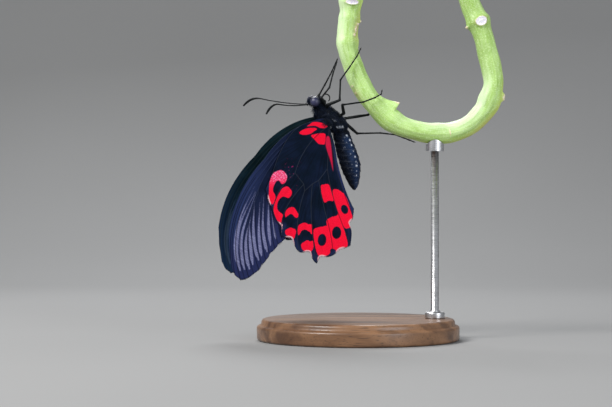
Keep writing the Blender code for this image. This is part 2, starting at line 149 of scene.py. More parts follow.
# Red patches at the hindwing's root, as outlines of (rear, out)
ROOT_RED = (
    ((-6.5, 5.5), (-6.2, 4.3), (-5.9, 3.1), (-5.0, 1.9), (-4.1, 0.9), (-2.7, 0.6), (-1.1, 0.4),
     (-0.3, 0.5), (-0.8, 1.6), (-2.2, 2.7), (-4.3, 3.4)),
    ((-7.2, 9.5), (-7.3, 8.5), (-6.9, 7.4), (-5.9, 5.9), (-3.9, 4.1), (-2.9, 3.9), (-3.3, 5.3),
     (-3.7, 6.7), (-5.3, 8.6)),
    ((-3.1, 7.2), (-2.3, 5.8), (-1.1, 4.4), (0.5, 3.2), (1.6, 3.9), (3.0, 6.0), (2.3, 6.9), (1.0, 7.6),
     (-1.0, 7.4)),
)
# The crimson streak beside them
ROOT_STREAK = (
    (1.8, 3.7), (2.7, 2.9), (4.9, 4.5), (8.2, 7.6), (12.2, 11.8), (8.6, 9.4), (5.4, 7.5), (3.3, 6.0),
)
# Where pale scales dust the wing: (vein count, share, reach)
HIND_DUST = ((0.75, 0.61, 3.6), (0.25, 0.80, 3.4))
# Where single red scales are scattered, in the same terms
HIND_SPECKS = ((0.80, 0.54, 2.4), (1.40, 0.60, 1.5))
# Pale streaks of the forewing's underside, as (angle, length) from the root
FORE_STREAKS = (
    ((8.0, 37.2), (3.8, 46.0), (0.6, 52.5), (-2.6, 57.8), (-5.6, 61.8)),
    ((5.5, 38.4), (0.9, 50.2), (-2.8, 56.9), (-5.8, 61.2), (-9.5, 64.8)),
    ((4.6, 38.8), (-1.1, 50.0), (-4.2, 56.0), (-7.9, 60.8), (-10.7, 63.8)),
    ((-1.2, 46.3), (-5.2, 54.0), (-9.2, 59.6), (-12.1, 62.8)),
    ((-2.2, 48.4), (-6.2, 52.8), (-10.1, 57.7), (-12.5, 60.8)),
    ((2.6, 41.0), (-4.9, 48.8), (-10.2, 55.1), (-13.6, 58.3)),
    ((-0.2, 40.2), (-7.7, 48.6), (-12.1, 54.2), (-13.9, 56.4)),
    ((0.6, 37.2), (-8.6, 46.9), (-13.1, 52.0), (-15.2, 54.1)),
    ((-3.0, 37.2), (-11.0, 45.8), (-15.4, 51.5)),
    ((-8.2, 40.3), (-14.9, 46.8), (-16.4, 48.5)),
)
STREAK_HALVES = (0.35, 0.72, 0.58, 0.58, 0.55, 0.60, 0.55, 0.58, 0.52, 0.38)

# Body, along the hinge (rear, up, radius) and the abdomen (x, z, radius)
BODY_WIDTH = 0.88
COAT_DEPTH = 0.38
HINGE_STATIONS = (
    (-8.6, 0.2, 1.5), (-8.1, 0.2, 2.0), (-7.1, 0.2, 2.6), (-5.9, 0.2, 3.0), (-4.6, 0.2, 3.45),
    (-2.5, 0.0, 3.75), (0.0, 0.0, 3.85), (2.6, 0.0, 3.75), (4.4, 0.1, 3.3), (5.6, 0.35, 2.65),
    (6.2, 0.6, 1.9),
)
ABDOMEN_STATIONS = (
    (2.95, -4.3, 2.95), (3.72, -6.0, 3.4), (4.25, -7.0, 3.45), (4.8, -8.7, 3.65), (5.7, -11.2, 3.9),
    (6.8, -14.0, 4.0), (7.8, -17.0, 3.9), (8.5, -19.8, 3.4), (9.1, -22.4, 2.6), (9.5, -24.6, 1.8),
    (9.68, -26.05, 0.85),
)
SEGMENT_FIRST = -6.0
SEGMENT_LENGTH = 2.27
HEAD_CENTRE = (-7.9, 0.0, 7.3)
HEAD_RADII = (2.1, 2.0, 1.75)
EYE_CENTRE = (-7.8, 2.0, 7.15)
EYE_RADIUS = 1.92
PALP_BASE = (-5.2, 0.9, 6.9)
PALP_TIP = (-5.4, 0.8, 9.2)
PALP_RADIUS = 0.45
COIL_CENTRE = (-3.0, 8.3)
COIL_OUTER = 1.72
COIL_INNER = 1.45
COIL_TURNS = 0.72
ANTENNA_BASE = (-10.3, 0.8, 5.9)
ANTENNA_LENGTH = 26.0
ANTENNA_SPLAY = math.radians(39.5)
ANTENNA_RISE = 1.3
ANTENNA_SAG = 0.45
ANTENNA_SAG_TO = 0.75
ANTENNA_DROOP = 3.7
ANTENNA_DROOP_FROM = 0.72
# Pale hair on the body's side: (x, half width y, z, reach, strength)
SIDE_SPOTS = (
    (-3.4, 3.25, 1.05, 0.50, 1.0),
    (-1.3, 3.2, 0.7, 0.32, 0.50),
    (-0.3, 3.2, 0.3, 0.32, 0.40),
    (-2.6, 3.2, -2.2, 0.55, 1.0),
    (-1.4, 3.3, -2.4, 0.50, 1.0),
    (-0.3, 3.3, -2.35, 0.45, 0.9),
    (0.8, 3.2, -2.2, 0.45, 0.7),
    (1.9, 3.0, -2.0, 0.40, 0.5),
    (2.9, 2.8, -1.9, 0.40, 0.6),
    (-2.4, 2.0, 5.8, 0.35, 0.4),
    (-5.5, 2.2, 6.3, 0.45, 0.4),
    (-8.2, 1.5, 4.9, 0.30, 0.5),
)
# Bright dots down the abdomen: (z, degrees from the side toward the belly, reach, strength)
ABDOMEN_DOTS = (
    (-5.2, 30.0, 0.45, 0.7), (-6.9, 36.0, 0.45, 1.0), (-8.8, 36.0, 0.42, 0.8), (-11.0, 33.0, 0.36, 0.6),
    (-13.1, 31.0, 0.40, 0.9), (-14.9, 28.0, 0.36, 0.6), (-16.5, 24.0, 0.45, 0.9), (-18.6, 18.0, 0.36, 0.6),
    (-20.4, 14.0, 0.45, 1.0),
)
SPECK_CELL = 0.62
# Colours of the body's hair, and of the bluish highlight painted along the abdomen's side
BODY_BLACK = np.array([0.0016, 0.0036, 0.0085])
BODY_BLUE = np.array([0.0045, 0.0105, 0.0280])
ABDOMEN_PAINTED_SHEEN = np.array([0.006, 0.023, 0.075])
FLECK_WHITE = np.array([0.84, 0.89, 1.00])
SKIN_VOXEL = 0.22
SKIN_ROUNDS = 3

# Legs: coxa, knee, ankle and foot points in the world frame, as in the CAD
HIP_LENGTH = 1.6
LEG_STEP = 0.12
# Radii at the hip, the thigh's middle, the knee, just past it, the ankle and the foot's tip
LEG_RADII = (0.56, 0.62, 0.46, 0.35, 0.27, 0.22)
FOOT_FROM = 0.62
FOOT_JOINTS = 5
LEGS = {
    "leg_fore_r": (
        (-13.0, -3.6, 88.9), (-14.0, -5.2, 90.2), (-10.8, -5.5, 94.2), (-9.5, -3.2, 99.4),
        (-7.9, -1.0, 104.2),
    ),
    "leg_fore_l": (
        (-12.6, -1.2, 89.3), (-14.8, 1.3, 91.5), (-12.4, 1.9, 95.8), (-9.9, 1.6, 100.5), (-7.7, 1.2, 105.4),
    ),
    "leg_mid_r": (
        (-11.3, -4.9, 87.9), (-7.0, -6.3, 89.5), (-6.7, -6.2, 97.0), (-3.8, -5.4, 101.1), (-0.5, -4.6, 106.0),
        (0.9, -3.0, 108.9),
    ),
    "leg_mid_l": ((-5.0, 3.3, 83.2), (4.0, 6.3, 84.7), (7.8, 6.6, 87.6), (6.2, 5.4, 91.7)),
    "leg_hind_r": (
        (-5.4, -3.0, 84.8), (-6.0, -5.8, 87.8), (1.8, -6.2, 88.8), (6.2, -5.0, 90.5), (8.6, -2.6, 92.0),
        (8.9, -1.6, 93.3),
    ),
    "leg_hind_l": (
        (-4.1, 3.0, 80.9), (-0.2, 5.2, 77.6), (8.5, 5.4, 77.8), (14.2, 4.2, 77.1), (21.3, 2.2, 74.2),
    ),
}

# Stem: the CAD's route, with its swellings as (span, size, sharpness)
STEM_RADIUS = 3.9
STEM_ROUTE = (
    (-2.5, 129.6), (-3.0, 122.9), (-3.7, 117.0), (-3.9, 110.7), (-2.1, 103.4), (2.2, 93.6), (9.6, 84.6),
    (18.0, 79.6), (28.8, 77.4), (39.4, 79.2), (47.4, 86.2), (50.7, 96.0), (49.1, 106.6), (46.6, 116.4),
    (44.0, 122.8), (41.3, 130.2),
)
STEM_LEAN_START = 96.0
STEM_LEAN_FROM_X = 38.0
STEM_LEAN = 0.16
STEM_BUMPS = (
    (0.36, 0.85, 2.5), (1.4, 0.3, 3.4), (2.9, 0.45, 3.0), (6.35, 0.5, 3.2), (10.4, 0.6, 3.4),
    (13.45, 0.9, 3.2),
)
# Knobs and scars: (span, degrees from the viewer toward the outside, height, reach along, reach round)
STEM_KNOBS = (
    (10.62, 84.0, 1.15, 1.35, 1.10),
    (13.32, 6.0, 0.50, 2.00, 2.15),
    (13.36, -76.0, 0.80, 0.70, 0.80),
    (1.52, -74.0, 0.60, 0.50, 0.80),
    (1.74, -55.0, 0.45, 0.60, 0.85),
    (2.05, -49.0, 0.28, 1.70, 0.75),
    (2.44, -41.0, 0.24, 0.75, 0.60),
    (0.50, -6.0, 0.50, 1.10, 2.30),
    (4.72, 55.0, 0.35, 0.45, 0.60),
    (4.95, 58.0, 0.30, 0.45, 0.60),
)
# The ledge of an old leaf scar on the loop's inner side: first span, last span, degrees, height, half width
STEM_LEDGE = (5.35, 6.25, -86.0, 2.9, 2.0)
# Tan patches on the bark: (strength, span, degrees, reach along, reach round)
STEM_TAN = (
    (0.7, 9.6, 80.0, 7.0, 2.2),
    (0.75, 2.05, -52.0, 4.6, 1.5),
    (0.55, 5.0, 55.0, 2.2, 1.4),
    (0.6, 13.35, 6.0, 1.2, 2.0),
)
# The thin ring of a node: span, height, half length, half angle in radians
STEM_RING = (8.5, 0.18, 0.35, 0.6)

# Camera and frame
CAMERA_PLACE = (-19.5, -637.5, 51.1)
LENS = 100.0
SENSOR = 36.0
# Lights: name, place, diameter, power and colour
LIGHT_AIM = (5.0, 0.0, 80.0)
LIGHTS = (
    ("key", (-520.0, -420.0, 620.0), 380.0, 8.9, (1.0, 0.985, 0.96)),
    ("fill", (520.0, -620.0, 240.0), 520.0, 3.6, (0.93, 0.96, 1.0)),
    ("back", (-60.0, 420.0, 520.0), 320.0, 2.8, (0.97, 0.98, 1.0)),
)
SKY_COLOUR = (0.92, 0.96, 1.0, 1.0)
SKY_STRENGTH = 0.42

RANDOM = np.random.default_rng(SEED)
SIDES = ((-1, "r"), (1, "l"))


# ---------------------------------------------------------------- small mathematics

def unit(vectors):
    return vectors / np.maximum(np.linalg.norm(vectors, axis=-1, keepdims=True), 1e-9)


def smoothstep(x, low, high):
    t = np.clip((x - low) / (high - low), 0.0, 1.0)
    return t * t * (3 - 2 * t)


def ring_turns(sides):
    """Evenly spaced angles round a ring."""
    return 2 * math.pi * np.arange(sides) / sides


def run_along(line):
    """Length from a line's start to each of its points."""
    return np.concatenate([[0], np.cumsum(np.linalg.norm(np.diff(line, axis=0), axis=1))])


def polar(degrees, length):
    """(rear, out) at an angle and a length from a wing's root."""
    angle = np.radians(degrees)
    return np.stack([-length * np.sin(angle), length * np.cos(angle)], axis=-1)


def catmull(points, steps, closed=False):
    """Points of a Catmull-Rom curve through the given ones."""
    knots = np.asarray(points, float)
    if closed:
        knots = np.concatenate([knots[-1:], knots, knots[:2]])
    else:
        knots = np.concatenate([[2 * knots[0] - knots[1]], knots, [2 * knots[-1] - knots[-2]]])
    route = []
    for before, start, end, after in zip(knots, knots[1:], knots[2:], knots[3:]):
        for t in np.arange(steps) / steps:
            bend = 2 * before - 5 * start + 4 * end - after
            twist = 3 * start - before - 3 * end + after
            route.append(0.5 * (2 * start + (end - before) * t + bend * t**2 + twist * t**3))
    if not closed:
        route.append(knots[-2])
    return np.array(route)


def segment_distance(points, start, end):
    """Distance of every point from every segment, shape (points, segments)."""
    along = end - start
    offset = points[:, None] - start
    t = (offset * along).sum(-1) / np.maximum((along**2).sum(-1), 1e-12)
    return np.linalg.norm(offset - np.clip(t, 0, 1)[..., None] * along, axis=-1)


def line_distance(points, line):
    return segment_distance(points, line[:-1], line[1:]).min(axis=1)


def inside_distance(points, outline):
    """Distance to a closed outline, positive inside it."""
    start, end = outline, np.roll(outline, -1, axis=0)
    x, y = points[:, :1], points[:, 1:]
    crosses = (start[:, 1] > y) != (end[:, 1] > y)
    slope = (end[:, 0] - start[:, 0]) / np.where(end[:, 1] == start[:, 1], 1e-9, end[:, 1] - start[:, 1])
    inside = (crosses & (x < start[:, 0] + slope * (y - start[:, 1]))).sum(axis=1) % 2 == 1
    distance = segment_distance(points, start, end).min(axis=1)
    return np.where(inside, distance, -distance)


def transform(matrix, points):
    matrix = np.array(matrix)
    return points @ matrix[:3, :3].T + matrix[:3, 3]


BODY_MATRIX = Matrix.Translation(THORAX_PLACE) @ Euler((BODY_ROLL, 0.0, BODY_YAW)).to_matrix().to_4x4()
HINGE_MATRIX = BODY_MATRIX @ Matrix.Rotation(HINGE_DIP, 4, "Y")


# ---------------------------------------------------------------- meshes

def mesh_object(name, points, faces, material, uv=None, **fields):
    """A smooth mesh. faces is a list of index arrays, uv has a row per corner, fields a row per point."""
    mesh = bpy.data.meshes.new(name)
    corners = np.concatenate([f.reshape(-1) for f in faces]).astype(np.int32)
    sizes = np.concatenate([np.full(len(f), f.shape[1]) for f in faces])
    starts = (np.cumsum(sizes) - sizes).astype(np.int32)
    mesh.vertices.add(len(points))
    mesh.vertices.foreach_set("co", (np.asarray(points) * MM).astype(np.float32).ravel())
    mesh.loops.add(len(corners))
    mesh.loops.foreach_set("vertex_index", corners)
    mesh.polygons.add(len(sizes))
    mesh.polygons.foreach_set("loop_start", starts)
    mesh.update(calc_edges=True)
    mesh.shade_smooth()
    if uv is not None:
        layer = mesh.uv_layers.new(name="OFBake")
        layer.uv.foreach_set("vector", np.asarray(uv, np.float32).ravel())
    for field, values in fields.items():
        values = np.asarray(values, np.float32)
        kind, slot = ("FLOAT", "value") if values.ndim == 1 else ("FLOAT_VECTOR", "vector")
        mesh.attributes.new(field, kind, "POINT").data.foreach_set(slot, values.ravel())
    mesh.materials.append(material)
    obj = bpy.data.objects.new(name, mesh)
    bpy.context.scene.collection.objects.link(obj)
    return obj


def join_parts(parts):
    """Points and face arrays of several parts as one."""
    points, faces, first = [], [], 0
    for part_points, part_faces in parts:
        points.append(part_points)
        faces += [f + first for f in part_faces]
        first += len(part_points)
    return np.concatenate(points), faces


def dress(obj, slot, *nodes):
    """The piece rides on the part's one body and stands for the named CAD nodes."""
    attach(obj, "root")
    if nodes:
        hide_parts(*nodes)


def ring_faces(count, sides):
    """Faces of a body made of rings: its quads, then the fans to its two end points."""
    index = np.arange(count * sides).reshape(count, sides)
    ahead = np.roll(index, -1, axis=1)
    quads = np.stack([index[:-1], ahead[:-1], ahead[1:], index[1:]], axis=-1).reshape(-1, 4)
    foot_fan = np.stack([ahead[0], index[0], np.full(sides, count * sides)], axis=-1)
    head_fan = np.stack([index[-1], ahead[-1], np.full(sides, count * sides + 1)], axis=-1)
    return [quads, np.concatenate([foot_fan, head_fan])]


def tube(line, radii, sides, first_normal=(0.0, -1.0, 0.0)):
    """Points and faces of a closed tube. radii has a value per ring, or per ring and side."""
    line = np.asarray(line, float)
    radii = np.asarray(radii, float)
    if radii.ndim == 1:
        radii = np.repeat(radii[:, None], sides, axis=1)
    tangents = unit(np.gradient(line, axis=0))
    normal = np.array(first_normal, float)
    rings = []
    turns = ring_turns(sides)
    for centre, tangent, radius in zip(line, tangents, radii):
        normal = unit(normal - tangent * (normal @ tangent))
        across = np.cross(tangent, normal)
        rim = np.cos(turns)[:, None] * normal + np.sin(turns)[:, None] * across
        rings.append(centre + rim * radius[:, None])
    return np.concatenate([*rings, line[:1], line[-1:]]), ring_faces(len(line), sides)


def ball(centre, radii, rows=32, columns=48):
    """Points and faces of an ellipsoid."""
    lat = math.pi * (np.arange(rows) + 1) / (rows + 1)
    lon = ring_turns(columns)
    level = np.repeat(np.cos(lat)[:, None], columns, axis=1)
    sine = np.sin(lat)[:, None]
    grid = np.stack([sine * np.cos(lon), sine * np.sin(lon), level], axis=-1).reshape(-1, 3)
    points = np.concatenate([grid, [[0, 0, 1], [0, 0, -1]]]) * radii + centre
    index = np.arange(rows * columns).reshape(rows, columns)
    ahead = np.roll(index, -1, axis=1)
    quads = np.stack([index[:-1], index[1:], ahead[1:], ahead[:-1]], axis=-1).reshape(-1, 4)
    top = np.stack([index[0], ahead[0], np.full(columns, rows * columns)], axis=-1)
    bottom = np.stack([ahead[-1], index[-1], np.full(columns, rows * columns + 1)], axis=-1)
    return points, [quads, np.concatenate([top, bottom])]


TUFT_PATCH = 0.003


def tufts(name, roots, ways, lengths, widths, bends, places, material, **fields):
    """One mesh of tapered three-sided hairs; places are their roots' spots on the unwrapped skin."""
    count = len(roots)
    helper = np.where(np.abs(ways[:, 2:]) < 0.9, [[0.0, 0.0, 1.0]], [[1.0, 0.0, 0.0]])
    side = unit(np.cross(ways, helper))
    other = np.cross(ways, side)
    turns = ring_turns(3)
    ring = np.cos(turns)[:, None] * side[:, None] + np.sin(turns)[:, None] * other[:, None]
    width = widths[:, None, None]
    length = lengths[:, None]
    base = roots[:, None] + ring * width
    middle = (roots + ways * length * 0.5 + bends * 0.25)[:, None] + ring * width * 0.8
    tip = (roots + ways * length + bends)[:, None]
    points = np.concatenate([base, middle, tip], axis=1).reshape(-1, 3)
    first = 7 * np.arange(count)[:, None, None]
    quads = (first + [[0, 1, 4, 3], [1, 2, 5, 4], [2, 0, 3, 5]]).reshape(-1, 4)
    fans = (first + [[3, 4, 6], [4, 5, 6], [5, 3, 6], [2, 1, 0]]).reshape(-1, 3)
    patch = np.array([[0, 0], [0.5, 0], [1, 0], [0, 0.5], [0.5, 0.5], [1, 0.5], [0.5, 1.0]]) * TUFT_PATCH
    spots = (places[:, None] * (1 - TUFT_PATCH) + patch).reshape(-1, 2)
    corners = np.concatenate([quads.ravel(), fans.ravel()])
    spread = {key: np.repeat(values, 7, axis=0) for key, values in fields.items()}
    spread["tip"] = np.tile([0.0, 0.0, 0.0, 0.5, 0.5, 0.5, 1.0], count)
    return mesh_object(name, points, [quads, fans], material, spots[corners], **spread)


# ---------------------------------------------------------------- materials

class Finish:
    """A material's node tree, with a short call for each kind of node."""

    def __init__(self, name, **settings):
        self.material = bpy.data.materials.new(name)
        self.material.use_nodes = True
        self.tree = self.material.node_tree
        self.shader = self.tree.nodes["Principled BSDF"]
        for key, value in settings.items():
            self.shader.inputs[key.replace("_", " ")].default_value = value

    def node(self, kind, inputs=(), **settings):
        made = self.tree.nodes.new("ShaderNode" + kind)
        for key, value in settings.items():
            setattr(made, key, value)
        for key, value in dict(inputs).items():
            if isinstance(value, bpy.types.NodeSocket):
                self.tree.links.new(value, made.inputs[key])
            else:
                made.inputs[key].default_value = value
        return made

    def field(self, name, output="Fac"):
        return self.node("Attribute", attribute_name=name).outputs[output]

    def place(self):
        """Object coordinates in millimetres."""
        found = self.node("TexCoord").outputs["Object"]
        return self.stretch(found, (1 / MM,) * 3)

    def stretch(self, vector, scale):
        return self.node("VectorMath", {0: vector, 1: scale}, operation="MULTIPLY").outputs[0]

    def noise(self, vector, scale, detail=2.0, roughness=0.5):
        inputs = {"Vector": vector, "Scale": scale, "Detail": detail, "Roughness": roughness}
        return self.node("TexNoise", inputs).outputs["Fac"]

    def cells(self, vector, scale):
        return self.node("TexVoronoi", {"Vector": vector, "Scale": scale}).outputs["Distance"]

    def math(self, operation, a, b=0.0):
        return self.node("Math", {0: a, 1: b}, operation=operation).outputs[0]

    def times(self, a, b):
        return self.math("MULTIPLY", a, b)

    def plus(self, a, b):
        return self.math("ADD", a, b)

    def rest(self, share):
        return self.math("SUBTRACT", 1.0, share)

    def ramp(self, value, low, high, start=0.0, end=1.0):
        inputs = {"Value": value, "From Min": low, "From Max": high, "To Min": start, "To Max": end}
        return self.node("MapRange", inputs, interpolation_type="SMOOTHSTEP").outputs["Result"]

    def mix(self, share, a, b):
        pair = [c if isinstance(c, bpy.types.NodeSocket) else (*c, 1.0) for c in (a, b)]
        made = self.node("Mix", {0: share, 6: pair[0], 7: pair[1]}, data_type="RGBA")
        return made.outputs[2]

    def blend(self, value, low, high, a, b):
        """From one colour to another as a value passes from low to high."""
        return self.mix(self.ramp(value, low, high), a, b)

    def bump(self, height, strength, distance):
        inputs = {"Height": height, "Strength": strength, "Distance": distance * MM}
        self.link("Normal", self.node("Bump", inputs).outputs["Normal"])

    def link(self, socket, value):
        self.tree.links.new(value, self.shader.inputs[socket])


def wing_finish(name, paint_outer, paint_inner):
    """Wing scales: two paints, for the shown underside and the inner upper side."""
    f = Finish(name, Roughness=0.6, Specular_IOR_Level=0.04, Sheen_Weight=0.01, Sheen_Roughness=0.45,
               Sheen_Tint=(0.45, 0.55, 1.0, 1.0))
    ray = f.field("ray", "Vector")
    grain = f.noise(f.stretch(ray, (7.0, 3.2, 1.0)), 1.0, 2.0)
    scales = f.cells(f.stretch(ray, (6.5, 3.6, 1.0)), 1.0)
    soft = f.noise(f.field("flat", "Vector"), 0.16, 3.0)
    outer = paint_outer(f, grain, soft)
    colour = f.mix(f.field("outer"), paint_inner(f, grain, soft), outer)
    speckle = f.ramp(scales, 0.1, 0.8, 1.0, 0.72)
    colour = f.mix(speckle, f.mix(0.5, colour, (0.0, 0.0, 0.0)), colour)
    f.link("Base Color", colour)
    f.link("Roughness", f.ramp(grain, 0.3, 0.7, 0.52, 0.70))
    f.bump(f.math("SUBTRACT", grain, scales), 0.55, 0.05)
    return f.material


def ragged(f, field, grain, low=-0.08, high=0.08, amount=0.5):
    """The share inside a mark, whose edge follows single rows of scales."""
    jitter = f.times(f.math("SUBTRACT", grain, 0.5), amount)
    return f.ramp(f.plus(field, jitter), low, high)


def hind_outer(f, grain, soft):
    black = f.blend(soft, 0.35, 0.7, (0.0020, 0.0072, 0.0185), (0.0050, 0.0115, 0.0350))
    black = f.mix(f.field("inner_band"), black, (0.020, 0.030, 0.110))
    rim = f.times(f.ramp(f.field("edge"), 2.4, 0.8, 0.0, 0.7), f.ramp(f.field("share"), 0.82, 0.93))
    black = f.mix(rim, black, (0.017, 0.027, 0.090))
    rows = f.noise(f.stretch(f.field("ray", "Vector"), (1.3, 0.10, 1.0)), 1.0, 2.0)
    black = f.mix(f.ramp(rows, 0.60, 0.35, 0.0, 0.45), black, (0.0010, 0.0022, 0.0060))
    vein = f.rest(f.ramp(f.field("vein"), 0.07, 0.20))
    ground = f.mix(f.times(vein, 0.7), black, (0.024, 0.030, 0.044))
    red = f.blend(grain, 0.3, 0.75, (0.92, 0.001, 0.022), (1.00, 0.012, 0.058))
    flat = f.field("flat", "Vector")
    flecks = f.noise(flat, 2.1, 2.0, 0.7)
    pink = f.ramp(f.plus(flecks, f.times(f.field("dust"), 0.14)), 0.64, 0.80)
    pink = f.times(pink, f.ramp(f.field("dust"), 0.15, 0.7))
    red = f.mix(f.times(f.field("dust"), 0.60), red, (0.90, 0.085, 0.260))
    red = f.mix(pink, red, (0.90, 0.42, 0.66))
    red = f.mix(f.times(vein, 0.85), red, (0.085, 0.004, 0.012))
    speck = f.times(f.ramp(f.noise(flat, 0.9, 1.0), 0.65, 0.71), f.field("speck"))
    ground = f.mix(speck, ground, (0.30, 0.012, 0.110))
    colour = f.mix(ragged(f, f.field("red"), grain), ground, red)
    colour = f.mix(ragged(f, f.field("crimson"), grain, -0.15, 0.35), colour, (0.60, 0.010, 0.052))
    colour = f.mix(ragged(f, f.field("spot"), grain), colour, black)
    return f.mix(ragged(f, f.field("pale"), grain, 0.25, 0.75), colour, (0.860, 0.480, 0.540))


def hind_inner(f, grain, soft):
    black = f.blend(soft, 0.35, 0.7, (0.0030, 0.0045, 0.0090), (0.0060, 0.0085, 0.0160))
    dusted = f.times(f.ramp(f.field("fold"), 2.6, 0.6), f.ramp(f.field("edge"), 2.0, 9.0))
    dusted = f.times(dusted, f.ramp(f.plus(grain, f.times(soft, 0.3)), 0.5, 0.8))
    return f.mix(f.times(dusted, 0.7), black, (0.085, 0.125, 0.175))


def fore_outer(f, grain, soft):
    navy = f.blend(soft, 0.3, 0.7, (0.0036, 0.0080, 0.0250), (0.0075, 0.0135, 0.0420))
    navy = f.blend(f.field("share"), 0.35, 0.95, navy, (0.0210, 0.0280, 0.0950))
    band = f.ramp(f.field("costa"), 9.0, 2.5)
    navy = f.mix(f.times(band, f.ramp(f.field("share"), 0.35, 0.75)), navy, (0.020, 0.034, 0.105))
    streak = ragged(f, f.field("streak"), grain, 0.12, 0.8, 0.7)
    cross = f.ramp(f.noise(f.stretch(f.field("ray", "Vector"), (0.5, 4.0, 1.0)), 1.0, 1.0), 0.35, 0.65)
    pale = f.mix(f.times(f.plus(grain, cross), 0.5), (0.095, 0.098, 0.215), (0.270, 0.285, 0.480))
    colour = f.mix(streak, navy, pale)
    fold = f.rest(f.ramp(f.field("fold"), 0.06, 0.26))
    colour = f.mix(f.times(fold, 0.8), colour, (0.007, 0.010, 0.032))
    vein = f.rest(f.ramp(f.field("vein"), 0.08, 0.26))
    far_out = f.ramp(f.field("share"), 0.55, 0.75)
    vein_colour = f.mix(far_out, (0.016, 0.024, 0.060), (0.006, 0.009, 0.028))
    return f.mix(f.times(vein, 0.8), colour, vein_colour)


def fore_inner(f, grain, soft):
    black = f.blend(soft, 0.35, 0.7, (0.0045, 0.0150, 0.0200), (0.0080, 0.0260, 0.0380))
    black = f.blend(f.field("share"), 0.45, 1.0, black, (0.0140, 0.0360, 0.0900))
    streak = ragged(f, f.field("streak"), grain, 0.35, 0.9, 0.7)
    colour = f.mix(f.times(streak, 0.55), black, (0.065, 0.105, 0.180))
    vein = f.rest(f.ramp(f.field("vein"), 0.08, 0.26))
    return f.mix(f.times(vein, 0.5), colour, (0.020, 0.034, 0.034))


def fringe_finish():
    f = Finish("fringe", Roughness=0.6, Specular_IOR_Level=0.15)
    f.link("Base Color", f.field("paint", "Vector"))
    return f.material


def coat_finish():
    """Hair: each tuft carries the paint of the skin under it, and pales a little toward its tip."""
    f = Finish("coat", Roughness=0.42, Specular_IOR_Level=0.22)
    paint = f.field("paint", "Vector")
    tip = f.times(f.field("tip"), 0.18)
    f.link("Base Color", f.mix(tip, paint, (0.022, 0.034, 0.080)))
    f.link("Roughness", f.ramp(f.field("tip"), 0.0, 1.0, 0.62, 0.42))
    return f.material


def skin_finish():
    f = Finish("skin", Roughness=0.6, Specular_IOR_Level=0.14)
    grain = f.noise(f.place(), 5.0, 3.0)
    paint = f.field("paint", "Vector")
    f.link("Base Color", f.blend(grain, 0.3, 0.7, f.mix(0.35, paint, (0.0, 0.0, 0.0)), paint))
    f.link("Roughness", f.ramp(grain, 0.3, 0.7, 0.45, 0.7))
    f.bump(grain, 0.6, 0.08)
    return f.material


def eye_finish():
    """Compound eye: fine facets under a clear gloss, with a painted highlight where it faces out sideways and
    painted shade toward its rims.
    """
    f = Finish("eye", Roughness=0.42, Specular_IOR_Level=0.5, Coat_Weight=0.1, Coat_Roughness=0.3)
    place = f.place()
    facets = f.cells(place, 13.0)
    soft = f.noise(place, 0.9, 2.0)
    colour = f.blend(soft, 0.35, 0.65, (0.034, 0.034, 0.105), (0.082, 0.076, 0.180))
    colour = f.blend(facets, 0.15, 0.55, colour, (0.018, 0.020, 0.060))
    # Painted shade toward the eye's rims, full colour as a painted highlight where it faces out sideways
    colour = f.mix(f.field("pale"), (0.007, 0.009, 0.028), colour)
    f.link("Base Color", colour)
    f.bump(f.rest(facets), 0.5, 0.03)
    return f.material


def limb_finish():
    """Black shell of the legs, antennae and tongue, with a dull waxy haze."""
    f = Finish("limb", Roughness=0.5, Specular_IOR_Level=0.14)
    grain = f.noise(f.place(), 4.0, 3.0)
    f.link("Base Color", f.blend(grain, 0.35, 0.7, (0.0020, 0.0030, 0.0035), (0.0060, 0.0075, 0.0090)))
    f.link("Roughness", f.ramp(grain, 0.3, 0.7, 0.32, 0.6))
    f.bump(grain, 0.5, 0.03)
    return f.material


